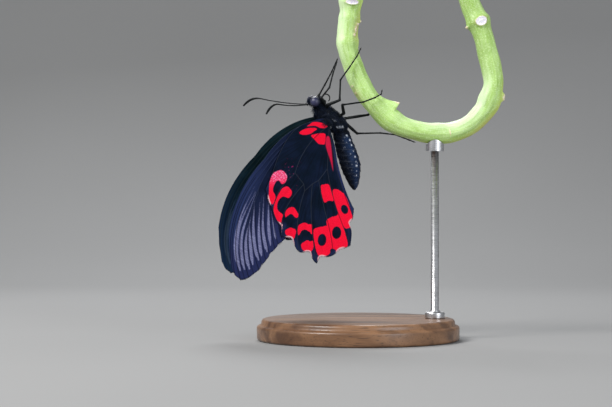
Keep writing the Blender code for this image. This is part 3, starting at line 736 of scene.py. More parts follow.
def stem_finish():
    """Living vine bark: pale wax with a painted highlight on the side toward the light, painted shade colours
    on the side away from it, streaks, freckles, and corky scars.
    """
    f = Finish("stem", Roughness=0.42, Specular_IOR_Level=0.4, Subsurface_Weight=0.12,
               Subsurface_Scale=0.8 * MM, Subsurface_Radius=(0.7, 1.0, 0.35))
    bark = f.field("bark", "Vector")
    soft = f.noise(f.stretch(bark, (0.16, 0.30, 0.30)), 1.0, 3.0)
    streak = f.noise(f.stretch(bark, (0.20, 2.2, 2.2)), 1.0, 3.0)
    freckle = f.noise(bark, 2.6, 2.0)
    green = f.blend(soft, 0.3, 0.7, (0.285, 0.470, 0.090), (0.410, 0.620, 0.185))
    green = f.mix(f.times(f.ramp(streak, 0.42, 0.62), 0.45), green, (0.500, 0.700, 0.290))
    green = f.mix(f.times(f.ramp(streak, 0.44, 0.34), 0.35), green, (0.230, 0.370, 0.050))
    # Pale wax with a painted highlight, strongest on the side toward the light
    bloom_and_highlight = f.times(f.field("bloom_and_highlight"), f.ramp(streak, 0.25, 0.6, 0.65, 1.0))
    green = f.mix(f.times(bloom_and_highlight, 0.66), green, (0.720, 0.860, 0.640))
    # Painted shade: darker green on the far limb's side toward the light
    green = f.mix(f.times(f.field("limb"), 0.55), green, (0.200, 0.330, 0.060))
    # Painted shade side: a lighter, yellower green on the side turned away from the light
    green = f.mix(f.times(f.field("under"), 0.65), green, (0.600, 0.720, 0.090))
    dashes = f.noise(f.stretch(bark, (3.2, 1.1, 1.1)), 1.0, 2.0)
    green = f.mix(f.times(f.ramp(dashes, 0.52, 0.66), 0.40), green, (0.640, 0.800, 0.450))
    green = f.mix(f.times(f.ramp(freckle, 0.62, 0.72), 0.55), green, (0.720, 0.800, 0.480))
    green = f.mix(f.times(f.ramp(freckle, 0.36, 0.28), 0.35), green, (0.170, 0.230, 0.030))
    green = f.mix(f.times(f.field("tan"), 0.75), green, (0.400, 0.280, 0.095))
    cork = f.blend(freckle, 0.4, 0.6, (0.560, 0.430, 0.240), (0.820, 0.740, 0.560))
    green = f.mix(f.ramp(f.plus(f.field("scar"), f.times(freckle, 0.3)), 0.45, 0.85), green, cork)
    lilac = f.blend(freckle, 0.4, 0.6, (0.640, 0.590, 0.660), (0.820, 0.800, 0.850))
    green = f.blend(f.field("wound"), 0.35, 0.65, green, lilac)
    f.link("Base Color", green)
    f.link("Roughness", f.ramp(streak, 0.3, 0.7, 0.36, 0.55))
    height = f.plus(f.times(streak, 0.8), f.times(freckle, 0.5))
    f.bump(height, 0.5, 0.16)
    return f.material


def cut_finish():
    """Cut ends of the stem: bark ring, pale wood and pith."""
    f = Finish("stem_cut", Roughness=0.7, Specular_IOR_Level=0.2)
    across = f.field("across")
    grain = f.noise(f.place(), 2.5, 3.0)
    wood = f.blend(grain, 0.3, 0.7, (0.560, 0.520, 0.260), (0.700, 0.680, 0.420))
    colour = f.blend(across, 0.30, 0.38, (0.760, 0.740, 0.600), wood)
    colour = f.blend(across, 0.84, 0.90, colour, (0.260, 0.360, 0.070))
    f.link("Base Color", colour)
    f.bump(grain, 0.6, 0.15)
    return f.material


def wood_finish():
    """Oiled walnut: grain runs through the turned disc along X."""
    f = Finish("walnut", Roughness=0.38, Specular_IOR_Level=0.4, Coat_Weight=0.25, Coat_Roughness=0.2)
    place = f.place()
    warp = f.noise(f.stretch(place, (0.012, 0.05, 0.05)), 1.0, 3.0)
    sway = f.node("CombineXYZ", {"Y": f.times(warp, 6.0)}).outputs[0]
    grown = f.stretch(place, (0.020, 0.16, 0.16))
    swayed = f.node("VectorMath", {0: grown, 1: sway}, operation="ADD").outputs[0]
    bands = f.noise(swayed, 1.0, 4.0)
    pores = f.noise(f.stretch(place, (0.10, 3.0, 3.0)), 1.0, 2.0)
    colour = f.blend(bands, 0.32, 0.68, (0.085, 0.038, 0.018), (0.235, 0.120, 0.058))
    colour = f.mix(f.times(f.ramp(pores, 0.42, 0.30), 0.7), colour, (0.030, 0.014, 0.008))
    f.link("Base Color", colour)
    f.link("Roughness", f.ramp(pores, 0.3, 0.6, 0.55, 0.34))
    f.bump(pores, 0.35, 0.06)
    return f.material


def steel_finish():
    """Brushed steel, its marks running round the rod."""
    f = Finish("steel", Metallic=1.0, Roughness=0.3)
    place = f.place()
    brushed = f.noise(f.stretch(place, (0.4, 0.4, 14.0)), 1.0, 2.0)
    smudge = f.noise(place, 0.25, 3.0)
    f.link("Base Color", f.blend(smudge, 0.3, 0.7, (0.50, 0.50, 0.51), (0.62, 0.62, 0.64)))
    f.link("Roughness", f.ramp(brushed, 0.3, 0.7, 0.24, 0.42))
    f.bump(brushed, 0.25, 0.02)
    return f.material


def stage_finish():
    f = Finish("stage", Roughness=0.9, Specular_IOR_Level=0.1)
    tone = f.noise(f.place(), 0.004, 2.0)
    f.link("Base Color", f.mix(tone, (0.25, 0.25, 0.25), (0.285, 0.285, 0.285)))
    return f.material


# ---------------------------------------------------------------- wings

def vein_table(wing):
    return np.array([vein[1:] for vein in wing["veins"]]).T


def along_vein(specs, share):
    """Points at a share of the way along veins, whose six numbers are the rows of specs."""
    root_angle, fork_angle, fork, end_angle, end, bow = specs
    t = np.clip(share / 0.5, 0.0, 1.0)
    u = np.clip((share - 0.5) / 0.5, 0.0, 1.0)
    angle = root_angle + (fork_angle - root_angle) * t + (end_angle - fork_angle) * u + bow * 4 * u * (1 - u)
    return polar(angle, fork * t + (end - fork) * u)


def wing_point(wing, count, share):
    """(rear, out) at a vein count and a share, with the margin's scallops square to its chords."""
    count, share = np.broadcast_arrays(np.asarray(count, float), np.asarray(share, float))
    i = np.clip(count.astype(int), 0, len(wing["veins"]) - 2)
    f = np.clip(count - i, 0.0, 1.0)
    specs = vein_table(wing)
    low, high = along_vein(specs[:, i], share), along_vein(specs[:, i + 1], share)
    point = low + (high - low) * f[..., None]
    depth, lean = np.array(wing["scallops"]).T[:, i]
    notch = depth * np.abs(np.sin(math.pi * f**lean)) ** 3 * np.maximum(0.0, share - 0.5) / 0.5
    chord = unit(along_vein(specs[:, i + 1], 1.0) - along_vein(specs[:, i], 1.0))
    return point - np.stack([-chord[..., 1], chord[..., 0]], axis=-1) * notch[..., None]


def margin_line(wing):
    return wing_point(wing, np.linspace(0, len(wing["veins"]) - 1, 400), 1.0)


def wing_curl(rear, out):
    return WING_CURL * (np.maximum(0.0, out - WING_CURL_FROM) / 40) ** 2 - 0.0004 * rear * rear


RIDGE_COLUMNS = (0.13, 0.32)
GAP_COLUMNS = 16
WING_ROWS = 151
FIRST_SHARE = 0.02


def wing_columns(wing, shares):
    """Vein count of every grid column at every share, with two columns close beside each vein."""
    gaps = len(wing["veins"]) - 1
    columns = []
    for i in range(gaps):
        width = np.linalg.norm(wing_point(wing, i + 1, shares) - wing_point(wing, i, shares), axis=-1)
        width = np.maximum(width, 1e-3)
        near = [np.minimum(offset / width, 0.09 * (k + 1)) for k, offset in enumerate(RIDGE_COLUMNS)]
        rest = [near[1] + (1 - 2 * near[1]) * k / (GAP_COLUMNS + 1) for k in range(1, GAP_COLUMNS + 1)]
        shares_across = [0.0 * near[0], *near, *rest, 1 - near[1], 1 - near[0]]
        columns += [i + f for f in shares_across]
    columns.append(np.full(len(shares), float(gaps)))
    return np.stack(columns, axis=1)


def vein_lines(wing):
    """Every vein that stands out, and the line that closes the cell, as curves in the wing's plane."""
    lines = [wing_point(wing, i, np.linspace(start, 1.0, 60)) for i, start in enumerate(wing["starts"])]
    count, share = np.array(wing["cell_end"]).T
    at = np.linspace(count[0], count[-1], 50)
    lines.append(wing_point(wing, at, np.interp(at, count, share)))
    return lines


def fold_lines(wing):
    gaps = len(wing["veins"]) - 1
    return [wing_point(wing, i + 0.5, np.linspace(0.56, 1.0, 40)) for i in range(1, gaps)]


def nearest_line(points, lines):
    return np.min([line_distance(points, line) for line in lines], axis=0)


def mark_outline(wing, outline):
    smooth = catmull(outline, 6, closed=True)
    return wing_point(wing, smooth[:, 0], smooth[:, 1])


def spot_distance(wing, points, spot):
    """Roughly the distance inside an oval black spot."""
    count, share, half_length, half_width, turn = spot
    centre = wing_point(wing, count, share)
    ahead = unit(centre)
    angle = math.radians(turn)
    along = np.array([ahead[0] * math.cos(angle) + ahead[1] * math.sin(angle),
                      -ahead[0] * math.sin(angle) + ahead[1] * math.cos(angle)])
    side = np.array([along[1], -along[0]])
    offset = points - centre
    reach = np.sqrt(((offset @ along) / half_length) ** 2 + ((offset @ side) / half_width) ** 2)
    return (1 - reach) * min(half_length, half_width)


def dusting(wing, points, places):
    total = np.zeros(len(points))
    for count, share, reach in places:
        total += np.exp(-(((points - wing_point(wing, count, share)) ** 2).sum(1) / reach**2))
    return np.minimum(total, 1.0)


def common_fields(wing, points, share):
    sides = [wing_point(wing, i, np.linspace(0.02, 1, 60)) for i in (0, len(wing["veins"]) - 1)]
    angle = np.arctan2(points[:, 0], points[:, 1])
    radius = np.linalg.norm(points, axis=1)
    return {
        "flat": np.column_stack([points, np.zeros(len(points))]),
        "ray": np.column_stack([angle * 25.0, radius, np.zeros(len(points))]),
        "vein": nearest_line(points, vein_lines(wing)),
        "fold": nearest_line(points, fold_lines(wing)),
        "edge": nearest_line(points, [margin_line(wing), *sides]),
        "costa": line_distance(points, sides[0]),
        "share": share,
    }


def margin_hollows(wing, count):
    """1 in the middle of the margin's hollows that are edged pale, 0 on its points."""
    gap = count.astype(int).clip(0, len(wing["veins"]) - 2)
    f = count - gap
    lean = np.array(wing["scallops"])[gap, 1]
    return np.minimum(1.0, 1.4 * np.abs(np.sin(np.pi * f**lean)) ** 3) * np.array(wing["pale_gaps"])[gap]


def hind_fields(points, count, share):
    marks = [inside_distance(points, mark_outline(HIND, m)) for m in HIND_RED]
    marks += [inside_distance(points, catmull(m, 6, closed=True)) for m in ROOT_RED]
    band = smoothstep(count, 6.75, 7.4) * smoothstep(share, 0.12, 0.4)
    pale = margin_hollows(HIND, count) * smoothstep(line_distance(points, margin_line(HIND)), 0.75, 0.15)
    return {
        "pale": pale,
        "red": np.max(marks, axis=0),
        "crimson": inside_distance(points, catmull(ROOT_STREAK, 6, closed=True)),
        "spot": np.max([spot_distance(HIND, points, s) for s in HIND_SPOTS], axis=0),
        "dust": dusting(HIND, points, HIND_DUST),
        "speck": dusting(HIND, points, HIND_SPECKS),
        "inner_band": 0.8 * band,
    }


def fore_fields(points, count, share):
    """The pale streaks: pointed toward the root, widest two thirds of the way out."""
    streak = np.zeros(len(points))
    for marks, half in zip(FORE_STREAKS, STREAK_HALVES):
        angle, length = np.array(marks).T
        line = catmull(polar(angle, length), 8)
        distances = segment_distance(points, line[:-1], line[1:])
        along = distances.argmin(axis=1) / (len(line) - 2)
        swell = 0.35 + 0.65 * smoothstep(along, 0.0, 0.6)
        width = half * swell * (0.45 + 0.55 * smoothstep(along, 1.0, 0.8))
        fade = 0.35 + 0.65 * smoothstep(along, 0.0, 0.4)
        streak = np.maximum(streak, fade * smoothstep(distances.min(axis=1) / width, 1.5, 0.5))
    return {"streak": streak}


def wing_relief(fields, points):
    """Height of the sheet's middle and of the vein ridges above it."""
    rear, out = points.T
    far = smoothstep(fields["share"], 0.2, 0.8)
    pleat = -0.10 * np.exp(-((fields["fold"] / 0.55) ** 2)) * far
    wave = 0.045 * np.sin(0.34 * out + 0.16 * rear) + 0.035 * np.sin(0.27 * rear - 0.21 * out + 1.0)
    ridge = 0.085 * np.exp(-((fields["vein"] / 0.15) ** 2)) * smoothstep(fields["edge"], 0.0, 0.6)
    return pleat + wave * far, ridge


def wing_matrix(wing, side):
    rear, gap, out = wing["root"]
    advance, opening = 0.0, WING_OPENING
    if side > 0:
        advance, opening = wing["advance_left"], wing["opening_left"]
        rear, out = rear + wing["shift_left"][0], out + wing["shift_left"][1]
    turn = Euler((side * opening, advance, 0.0), "YXZ").to_matrix().to_4x4()
    return HINGE_MATRIX @ Matrix.Translation((rear, side * gap, -out)) @ turn


def lay_out(wing, points, side):
    """Wing-plane points as (rear, lift, -out) with the sheet's bow."""
    rear, out = points.T
    bow = wing_curl(rear + wing["root"][0], out + wing["root"][2])
    return rear, -side * bow, -out


def unwrap(points, inner):
    """The shown face on the left half of the map, the inner face on the right."""
    low, high = points.min(axis=0), points.max(axis=0)
    spot = (points - low) / (high - low)
    return np.column_stack([0.01 + 0.48 * spot[:, 0] + (0.5 if inner else 0.0), 0.01 + 0.98 * spot[:, 1]])


def sheet_faces(rows, columns, flip):
    index = np.arange(rows * columns).reshape(rows, columns)
    quads = np.stack([index[:-1, :-1], index[:-1, 1:], index[1:, 1:], index[1:, :-1]], axis=-1).reshape(-1, 4)
    ring = np.concatenate([index[0, :-1], index[:-1, -1], index[-1, :0:-1], index[:0:-1, 0]])
    if flip:
        return quads[:, ::-1], ring[::-1]
    return quads, ring


def make_wing(name, wing, side, own_fields, material):
    """Both faces of a wing, its veins standing proud, and a rim that closes the sheet."""
    shares = np.linspace(0.0, 1.0, WING_ROWS)
    shares[0] = FIRST_SHARE / 2
    columns = wing_columns(wing, shares)
    count = columns.ravel()
    share = np.repeat(shares, columns.shape[1])
    points = wing_point(wing, count, share)
    fields = common_fields(wing, points, share)
    fields.update(own_fields(points, count, share))
    middle, ridge = wing_relief(fields, points)
    rear, lift, down = lay_out(wing, points, side)
    outer = np.column_stack([rear, lift + side * (middle + WING_SHEET / 2 + ridge), down])
    inner = np.column_stack([rear, lift + side * (middle - WING_SHEET / 2 - 0.6 * ridge), down])
    size = len(points)
    quads, ring = sheet_faces(*columns.shape, flip=side < 0)
    back = quads[:, ::-1] + size
    ahead = np.roll(ring, -1)
    rim = np.stack([ahead, ring, ring + size, ahead + size], axis=-1)
    spots = np.concatenate([unwrap(points, False), unwrap(points, True)])
    rim_spots = spots[np.stack([ahead, ring, ring, ahead], axis=-1)].reshape(-1, 2)
    uv = np.concatenate([spots[quads.ravel()], spots[back.ravel()], rim_spots])
    doubled = {key: np.concatenate([values, values]) for key, values in fields.items()}
    doubled["outer"] = np.repeat([1.0, 0.0], size)
    world = transform(wing_matrix(wing, side), np.concatenate([outer, inner]))
    return mesh_object(name, world, [quads, back, rim], material, uv, **doubled)


FRINGE_STEP = 0.13
FRINGE_WIDTH = 0.055
# Colours of the fringe, dark on the margin's points and pale in its hollows
FRINGE_DARK = (0.010, 0.012, 0.028)
FORE_FRINGE_PALE = (0.10, 0.10, 0.17)
HIND_FRINGE_PALE = (0.62, 0.42, 0.46)


def make_fringe(name, wing, side, material, pale_paint):
    """Short scales that stand out all along the outer margin, pale in its hollows."""
    gaps = len(wing["veins"]) - 1
    dense = np.linspace(0.0, gaps, 4000)
    margin = wing_point(wing, dense, 1.0)
    run = run_along(margin)
    count = np.interp(np.arange(0, run[-1], FRINGE_STEP), run, dense)
    roots = wing_point(wing, count, 1.0)
    number = len(roots)
    ahead = unit(unit(roots - wing_point(wing, count, 0.97)) + RANDOM.normal(0, 0.16, (number, 2)))
    hollow = margin_hollows(wing, count)
    pale = (hollow * RANDOM.uniform(0.4, 1.0, number) > 0.5).astype(float)[:, None]
    paint = np.array(FRINGE_DARK) * (1 - pale) + np.array(pale_paint) * pale
    matrix = wing_matrix(wing, side)
    rear, lift, down = lay_out(wing, roots - ahead * 0.15, side)
    clear = np.full(number, 9.0)
    fields = {"share": np.ones(number), "fold": clear, "vein": clear, "edge": np.zeros(number)}
    middle, _ = wing_relief(fields, roots)
    base = transform(matrix, np.column_stack([rear, lift + side * middle, down]))
    turn = np.array(matrix)[:3, :3]
    ways = unit(np.column_stack([ahead[:, 0], RANDOM.normal(0, 0.10, number), -ahead[:, 1]]) @ turn.T)
    lengths = RANDOM.uniform(0.45, 0.65, number) * (0.75 + 0.5 * hollow)
    widths, bends = np.full(number, FRINGE_WIDTH), np.zeros((number, 3))
    return tufts(name, base, ways, lengths, widths, bends, unwrap(roots, False), material, paint=paint)


def make_wings():
    hind = wing_finish("hindwing", hind_outer, hind_inner)
    fore = wing_finish("forewing", fore_outer, fore_inner)
    fringe = fringe_finish()
    for side, letter in SIDES:
        dress(make_wing(f"wing_fore_{letter}", FORE, side, fore_fields, fore), "wing", f"forewing_{letter}")
        dress(make_wing(f"wing_hind_{letter}", HIND, side, hind_fields, hind), "wing", f"hindwing_{letter}")
        dress(make_fringe(f"fringe_fore_{letter}", FORE, side, fringe, FORE_FRINGE_PALE), "wing")
        dress(make_fringe(f"fringe_hind_{letter}", HIND, side, fringe, HIND_FRINGE_PALE), "wing")


# ---------------------------------------------------------------- body

def along_hinge(rear, up):
    cos, sin = math.cos(HINGE_DIP), math.sin(HINGE_DIP)
    return np.column_stack([rear * cos + up * sin, 0.0 * rear, -rear * sin + up * cos])


def abdomen_at(z):
    """Centre x and radius of the abdomen at a height."""
    x, height, radius = np.array(ABDOMEN_STATIONS).T
    order = np.argsort(height)
    return np.interp(z, height[order], x[order]), np.interp(z, height[order], radius[order])


def body_forms():
    """The flesh under the coat, as overlapping closed forms in the body frame."""
    rear, up, radius = catmull(HINGE_STATIONS, 6).T
    points, faces = tube(along_hinge(rear, up), radius - COAT_DEPTH, 40)
    points[:, 1] *= BODY_WIDTH
    forms = [(points, faces)]
    x, z, radius = catmull(ABDOMEN_STATIONS, 10).T
    phase = (SEGMENT_FIRST - z) / SEGMENT_LENGTH
    lip = (phase - np.floor(phase)) ** 3
    radius = (radius - COAT_DEPTH * 0.8) * (1 + 0.055 * lip * (phase > 0) * (radius > 1.2))
    forms.append(tube(np.column_stack([x, 0 * x, z]), np.maximum(radius, 0.15), 40))
    forms.append(ball(HEAD_CENTRE, np.array(HEAD_RADII) - 0.3))
    for side, _ in SIDES:
        base = np.array(PALP_BASE) * (1, side, 1)
        tip = np.array(PALP_TIP) * (1, side, 1)
        start = base + (base - tip) * 0.35 + np.array((-0.8, 0, 0))
        line = catmull([start, base, (base + tip) / 2 + np.array((0.12, 0, 0)), tip], 5)
        taper = np.interp(np.linspace(0, 1, len(line)), [0, 0.3, 0.75, 1], [0.9, 1.0, 0.85, 0.35])
        forms.append(tube(line, PALP_RADIUS * taper * 0.9, 16))
        forms.append(wing_root_form(side))
    return forms


def wing_root_form(side):
    """The little plates that carry the wings, between the thorax and the wing roots."""
    middle = (np.array(FORE["root"]) + np.array(HIND["root"])) / 2 * (1, side, -1)
    centre = transform(Matrix.Rotation(HINGE_DIP, 4, "Y"), middle[None])[0] * (1, 0.80, 1)
    return ball(centre, (2.3, 1.15, 1.9), 16, 24)


def read_rows(items, field, width, kind=np.float32):
    """One field of all of a mesh's items, as rows."""
    values = np.empty(len(items) * width, kind)
    items.foreach_get(field, values)
    return values.reshape(-1, width)


def remeshed(forms, voxel, rounds):
    """One seamless skin round all the forms: its points, quads, triangles and normals."""
    points, faces = join_parts(forms)
    blank = bpy.data.materials.new("forms")
    obj = mesh_object("forms", points / MM, faces, blank)
    skin = obj.modifiers.new("skin", "REMESH")
    skin.mode = "VOXEL"
    skin.voxel_size = voxel
    smooth = obj.modifiers.new("smooth", "SMOOTH")
    smooth.factor = 0.5
    smooth.iterations = rounds
    graph = bpy.context.evaluated_depsgraph_get()
    mesh = bpy.data.meshes.new_from_object(obj.evaluated_get(graph))
    mesh.calc_loop_triangles()
    found = read_rows(mesh.vertices, "co", 3).astype(float)
    normals = read_rows(mesh.vertices, "normal", 3).astype(float)
    triangles = read_rows(mesh.loop_triangles, "vertices", 3, np.int32)
    quads = read_rows(mesh.loops, "vertex_index", 1, np.int32).reshape(-1, 4)
    bpy.data.objects.remove(obj, do_unlink=True)
    bpy.data.meshes.remove(mesh)
    bpy.data.materials.remove(blank)
    return found, quads, triangles, normals


def fleck(points, spot, edge, core):
    """A round fleck on both sides of the body: 1 within its core, 0 past its edge."""
    x, y, z = points.T
    distance = (x - spot[0]) ** 2 + (np.abs(y) - spot[1]) ** 2 + (z - spot[2]) ** 2
    return smoothstep(distance, edge**2, core**2)


def body_paint(points):
    """Colour of the body's hair at body-frame points: blue-black with pale flecks on the sides, and a painted
    bluish highlight along the abdomen.
    """
    x, y, z = points.T
    wander = 0.5 + 0.25 * np.sin(2.1 * x + 1.3 * z) + 0.25 * np.sin(3.3 * z - 1.7 * y + 0.8)
    colour = BODY_BLACK + (BODY_BLUE - BODY_BLACK) * wander[:, None]
    turn = np.arctan2(x - abdomen_at(z)[0], np.abs(y))
    abdomen = smoothstep(-z + 0.15 * x, 5.4, 7.0)
    # Painted highlight: a bluish band along the abdomen's side, where light glances off it
    painted_sheen = abdomen * np.exp(-(((turn - 0.35) / 0.55) ** 2))
    colour += painted_sheen[:, None] * ABDOMEN_PAINTED_SHEEN
    pale = np.zeros(len(points))
    for sx, sy, sz, reach, strength in SIDE_SPOTS:
        pale = np.maximum(pale, strength * fleck(points, (sx, sy, sz), 1.35 * reach, 0.7 * reach))
    for height, degrees, reach, strength in ABDOMEN_DOTS:
        middle, wide = abdomen_at(height)
        way = math.radians(degrees)
        spot = (middle + wide * math.sin(way), wide * math.cos(way), height)
        pale = np.maximum(pale, strength * fleck(points, spot, 1.15 * reach, 0.6 * reach))
    pale = np.maximum(pale, abdomen * abdomen_specks(turn * 3.6, z))
    phase = (SEGMENT_FIRST - z) / SEGMENT_LENGTH
    ring = smoothstep(phase - np.floor(phase), 0.86, 1.0)
    pale = np.maximum(pale, 0.05 * abdomen * ring)
    return colour + (FLECK_WHITE - colour) * pale[:, None]


def abdomen_specks(around, along):
    """Small pale specks, one in some of the cells of a grid that is wrapped round the abdomen."""
    column = np.floor(around / SPECK_CELL)
    row = np.floor(along / SPECK_CELL + 0.5 * column)
    chance = np.abs(np.sin(column * 12.99 + row * 78.23) * 437.58) % 1.0
    off = (around / SPECK_CELL - column - 0.5) ** 2 + (along / SPECK_CELL + 0.5 * column - row - 0.5) ** 2
    side = np.exp(-(((around - 1.2) / 2.6) ** 2))
    return 0.35 * (chance > 0.86) * smoothstep(off, 0.16, 0.03) * side


def surface_samples(points, triangles, density):
    """Seeded places spread over a surface: triangle index and weights of its corners."""
    a, b, c = (points[triangles[:, k]] for k in range(3))
    area = np.linalg.norm(np.cross(b - a, c - a), axis=1) / 2
    middle = (a + b + c) / 3
    expected = area * density(middle)
    number = int(expected.sum())
    picked = RANDOM.choice(len(triangles), number, p=expected / expected.sum())
    weights = RANDOM.uniform(0, 1, (number, 2))
    over = weights.sum(axis=1) > 1
    weights[over] = 1 - weights[over]
    weights = np.column_stack([1 - weights.sum(axis=1), weights])
    return picked, weights


def region_shares(points):
    """How far each body-frame point belongs to the head, the thorax and the abdomen."""
    x, _, z = points.T
    head = smoothstep(z - 0.4 * x, 7.6, 8.9)
    abdomen = smoothstep(-z + 0.15 * x, 5.0, 6.6)
    return head, 1 - np.maximum(head, abdomen), abdomen


def body_unwrap(points):
    """A tube-like unwrap of the skin: round the body, and from tail to head."""
    x, y, z = points.T
    centre = np.interp(z, [-26, -14, -6, 0, 6, 9], [9.7, 6.8, 3.6, 0.0, -6.5, -8.0])
    return np.column_stack([0.5 + np.arctan2(y, x - centre) / (2 * math.pi), (z + 27.0) / 38.0])


def make_body():
    points, quads, triangles, normals = remeshed(body_forms(), SKIN_VOXEL, SKIN_ROUNDS)
    placed = transform(BODY_MATRIX, points)
    skin = mesh_object("body_skin", placed, [quads], skin_finish(), paint=body_paint(points))
    dress(skin, "body", "head", "prothorax", "thorax", "abdomen", "palp_r", "palp_l")
    coat = coat_finish()
    make_coat("coat_front", points, triangles, normals, coat, front_density, front_hair)
    make_coat("coat_abdomen", points, triangles, normals, coat, rear_density, rear_hair)


# Tufts on each square millimetre of skin
HEAD_TUFTS = 20.0
THORAX_TUFTS = 17.0
ABDOMEN_TUFTS = 15.0


def eye_clear(points):
    """0 on the eyes, where no hair grows, 1 away from them."""
    mirrored = np.column_stack([points[:, 0], np.abs(points[:, 1]), points[:, 2]])
    return smoothstep(np.linalg.norm(mirrored - EYE_CENTRE, axis=1), EYE_RADIUS + 0.05, EYE_RADIUS + 0.3)


def front_density(points):
    head, thorax, abdomen = region_shares(points)
    return (HEAD_TUFTS * head + THORAX_TUFTS * thorax) * eye_clear(points) * (1 - abdomen)


def rear_density(points):
    return ABDOMEN_TUFTS * region_shares(points)[2]


def front_hair(roots):
    head, thorax, _ = region_shares(roots)
    above = roots[:, 0] * math.sin(HINGE_DIP) + roots[:, 2] * math.cos(HINGE_DIP)
    collar = smoothstep(above, 1.8, -1.0) * smoothstep(roots[:, 0], -1.0, -5.0)
    return (0.30 + 0.8 * collar) * head + (0.50 + 1.30 * collar) * thorax + 0.28, 0.55


def rear_hair(roots):
    return np.full(len(roots), 0.48), 0.24


def make_coat(name, points, triangles, normals, material, density, hair):
    """A coat of tufts, combed tailward, that carries the skin's paint."""
    picked, weights = surface_samples(points, triangles, density)
    corners = triangles[picked]
    roots = (points[corners] * weights[..., None]).sum(axis=1)
    normal = unit((normals[corners] * weights[..., None]).sum(axis=1))
    lengths, lift = hair(roots)
    number = len(roots)
    tail = np.where(roots[:, 2:] > -4.5, along_hinge(np.array([1.0]), np.array([0.0])), [[0.28, 0.0, -0.96]])
    tail = unit(tail - normal * (tail * normal).sum(axis=1, keepdims=True))
    clump = np.column_stack([
        np.sin(2.3 * roots[:, 2] + 1.1 * roots[:, 0]),
        np.sin(1.9 * roots[:, 0] - 2.2 * roots[:, 1]),
        np.sin(2.7 * roots[:, 1] + 1.7 * roots[:, 2] + 2.0),
    ])
    ways = unit(tail * (1 - lift) + normal * lift + 0.16 * clump + RANDOM.normal(0, 0.10, (number, 3)))
    lengths = lengths * RANDOM.uniform(0.7, 1.15, number)
    bends = tail * (0.28 * lengths)[:, None]
    widths = np.clip(0.045 + 0.018 * lengths, 0.05, 0.075)
    paint = body_paint(roots) * RANDOM.uniform(0.6, 1.5, number)[:, None]
    turn = np.array(BODY_MATRIX)[:3, :3]
    obj = tufts(
        name, transform(BODY_MATRIX, roots - normal * 0.06), ways @ turn.T, lengths, widths, bends @ turn.T,
        body_unwrap(roots), material, paint=paint,
    )
    dress(obj, "body")


def make_eyes():
    finish = eye_finish()
    for side, letter in SIDES:
        centre = np.array(EYE_CENTRE) * (1, side, 1)
        points, faces = ball(centre, (EYE_RADIUS,) * 3, 60, 96)
        # Painted highlight and shade: 1 where the eye faces out sideways, falling to 0 toward its rims
        outward = unit(points - centre) @ unit(np.array([-0.35, side * 0.93, -0.05]))
        pale = smoothstep(outward, 0.35, 1.05)
        obj = mesh_object(f"eye_ball_{letter}", transform(BODY_MATRIX, points), faces, finish, pale=pale)
        dress(obj, "eye", f"eye_{letter}")


ANTENNA_JOINTS = 38
TONGUE_RINGS = 46


def make_antennae(finish):
    """A shaft of short joints that swells into a dark club."""
    for side, letter in SIDES:
        t = np.linspace(0.0, 1.0, 260)
        droop = ANTENNA_DROOP * np.maximum(0.0, (t - ANTENNA_DROOP_FROM) / (1 - ANTENNA_DROOP_FROM)) ** 2.5
        sag = ANTENNA_SAG * np.sin(np.pi * np.minimum(1.0, t / ANTENNA_SAG_TO))
        reach = ANTENNA_LENGTH * t
        line = np.column_stack([
            ANTENNA_BASE[0] - reach * math.cos(ANTENNA_SPLAY),
            side * (ANTENNA_BASE[1] + reach * math.sin(ANTENNA_SPLAY)),
            ANTENNA_BASE[2] + ANTENNA_RISE * t - sag - droop,
        ])
        club = smoothstep(t, 0.66, 0.90) * (1 - 0.55 * smoothstep(t, 0.94, 1.0))
        joint = np.abs(np.sin(np.pi * t * ANTENNA_JOINTS)) ** 0.5
        radii = (0.23 + 0.23 * club) * (0.86 + 0.14 * joint)
        radii += 0.22 * np.exp(-((t / 0.018) ** 2))
        radii[-1] *= 0.4
        points, faces = tube(line, radii, 14)
        obj = mesh_object(f"feeler_{letter}", transform(BODY_MATRIX, points), faces, finish)
        dress(obj, "limb", f"antenna_{letter}")


def make_tongue(finish):
    """The coiled tongue, ringed along its length."""
    t = np.linspace(0.0, 1.0, 200)
    turn = math.radians(215) - 2 * math.pi * COIL_TURNS * t
    radius = COIL_OUTER + (COIL_INNER - COIL_OUTER) * t
    x, z = COIL_CENTRE[0] + radius * np.cos(turn), COIL_CENTRE[1] + radius * np.sin(turn)
    line = np.column_stack([x, 0 * t, z])
    radii = (0.28 - 0.06 * t) * (0.93 + 0.07 * np.cos(2 * np.pi * TONGUE_RINGS * t))
    points, faces = tube(line, radii, 14)
    dress(mesh_object("tongue", transform(BODY_MATRIX, points), faces, finish), "limb", "proboscis")


# ---------------------------------------------------------------- legs

def polyline(joints, step):
    """Evenly spaced points along straight joints, with the length at each and at each joint."""
    joints = np.asarray(joints, float)
    run = run_along(joints)
    at = np.linspace(0, run[-1], int(run[-1] / step) + 1)
    return np.column_stack([np.interp(at, run, joints[:, k]) for k in range(3)]), at, run


def off_stem(points, clearance):
    """Points moved out to the stem's surface where they would sink into it."""
    line, radii = STEM
    distance = np.linalg.norm(points[:, None] - line, axis=-1)
    nearest = distance.argmin(axis=1)
    gap = distance[np.arange(len(points)), nearest]
    reach = radii[nearest] + clearance
    away = unit(points - line[nearest])
    return np.where((gap < reach)[:, None], line[nearest] + away * reach[:, None], points)


SPURS_FROM = 8
SPUR_EVERY = 3
SPUR_TURN = 2.4


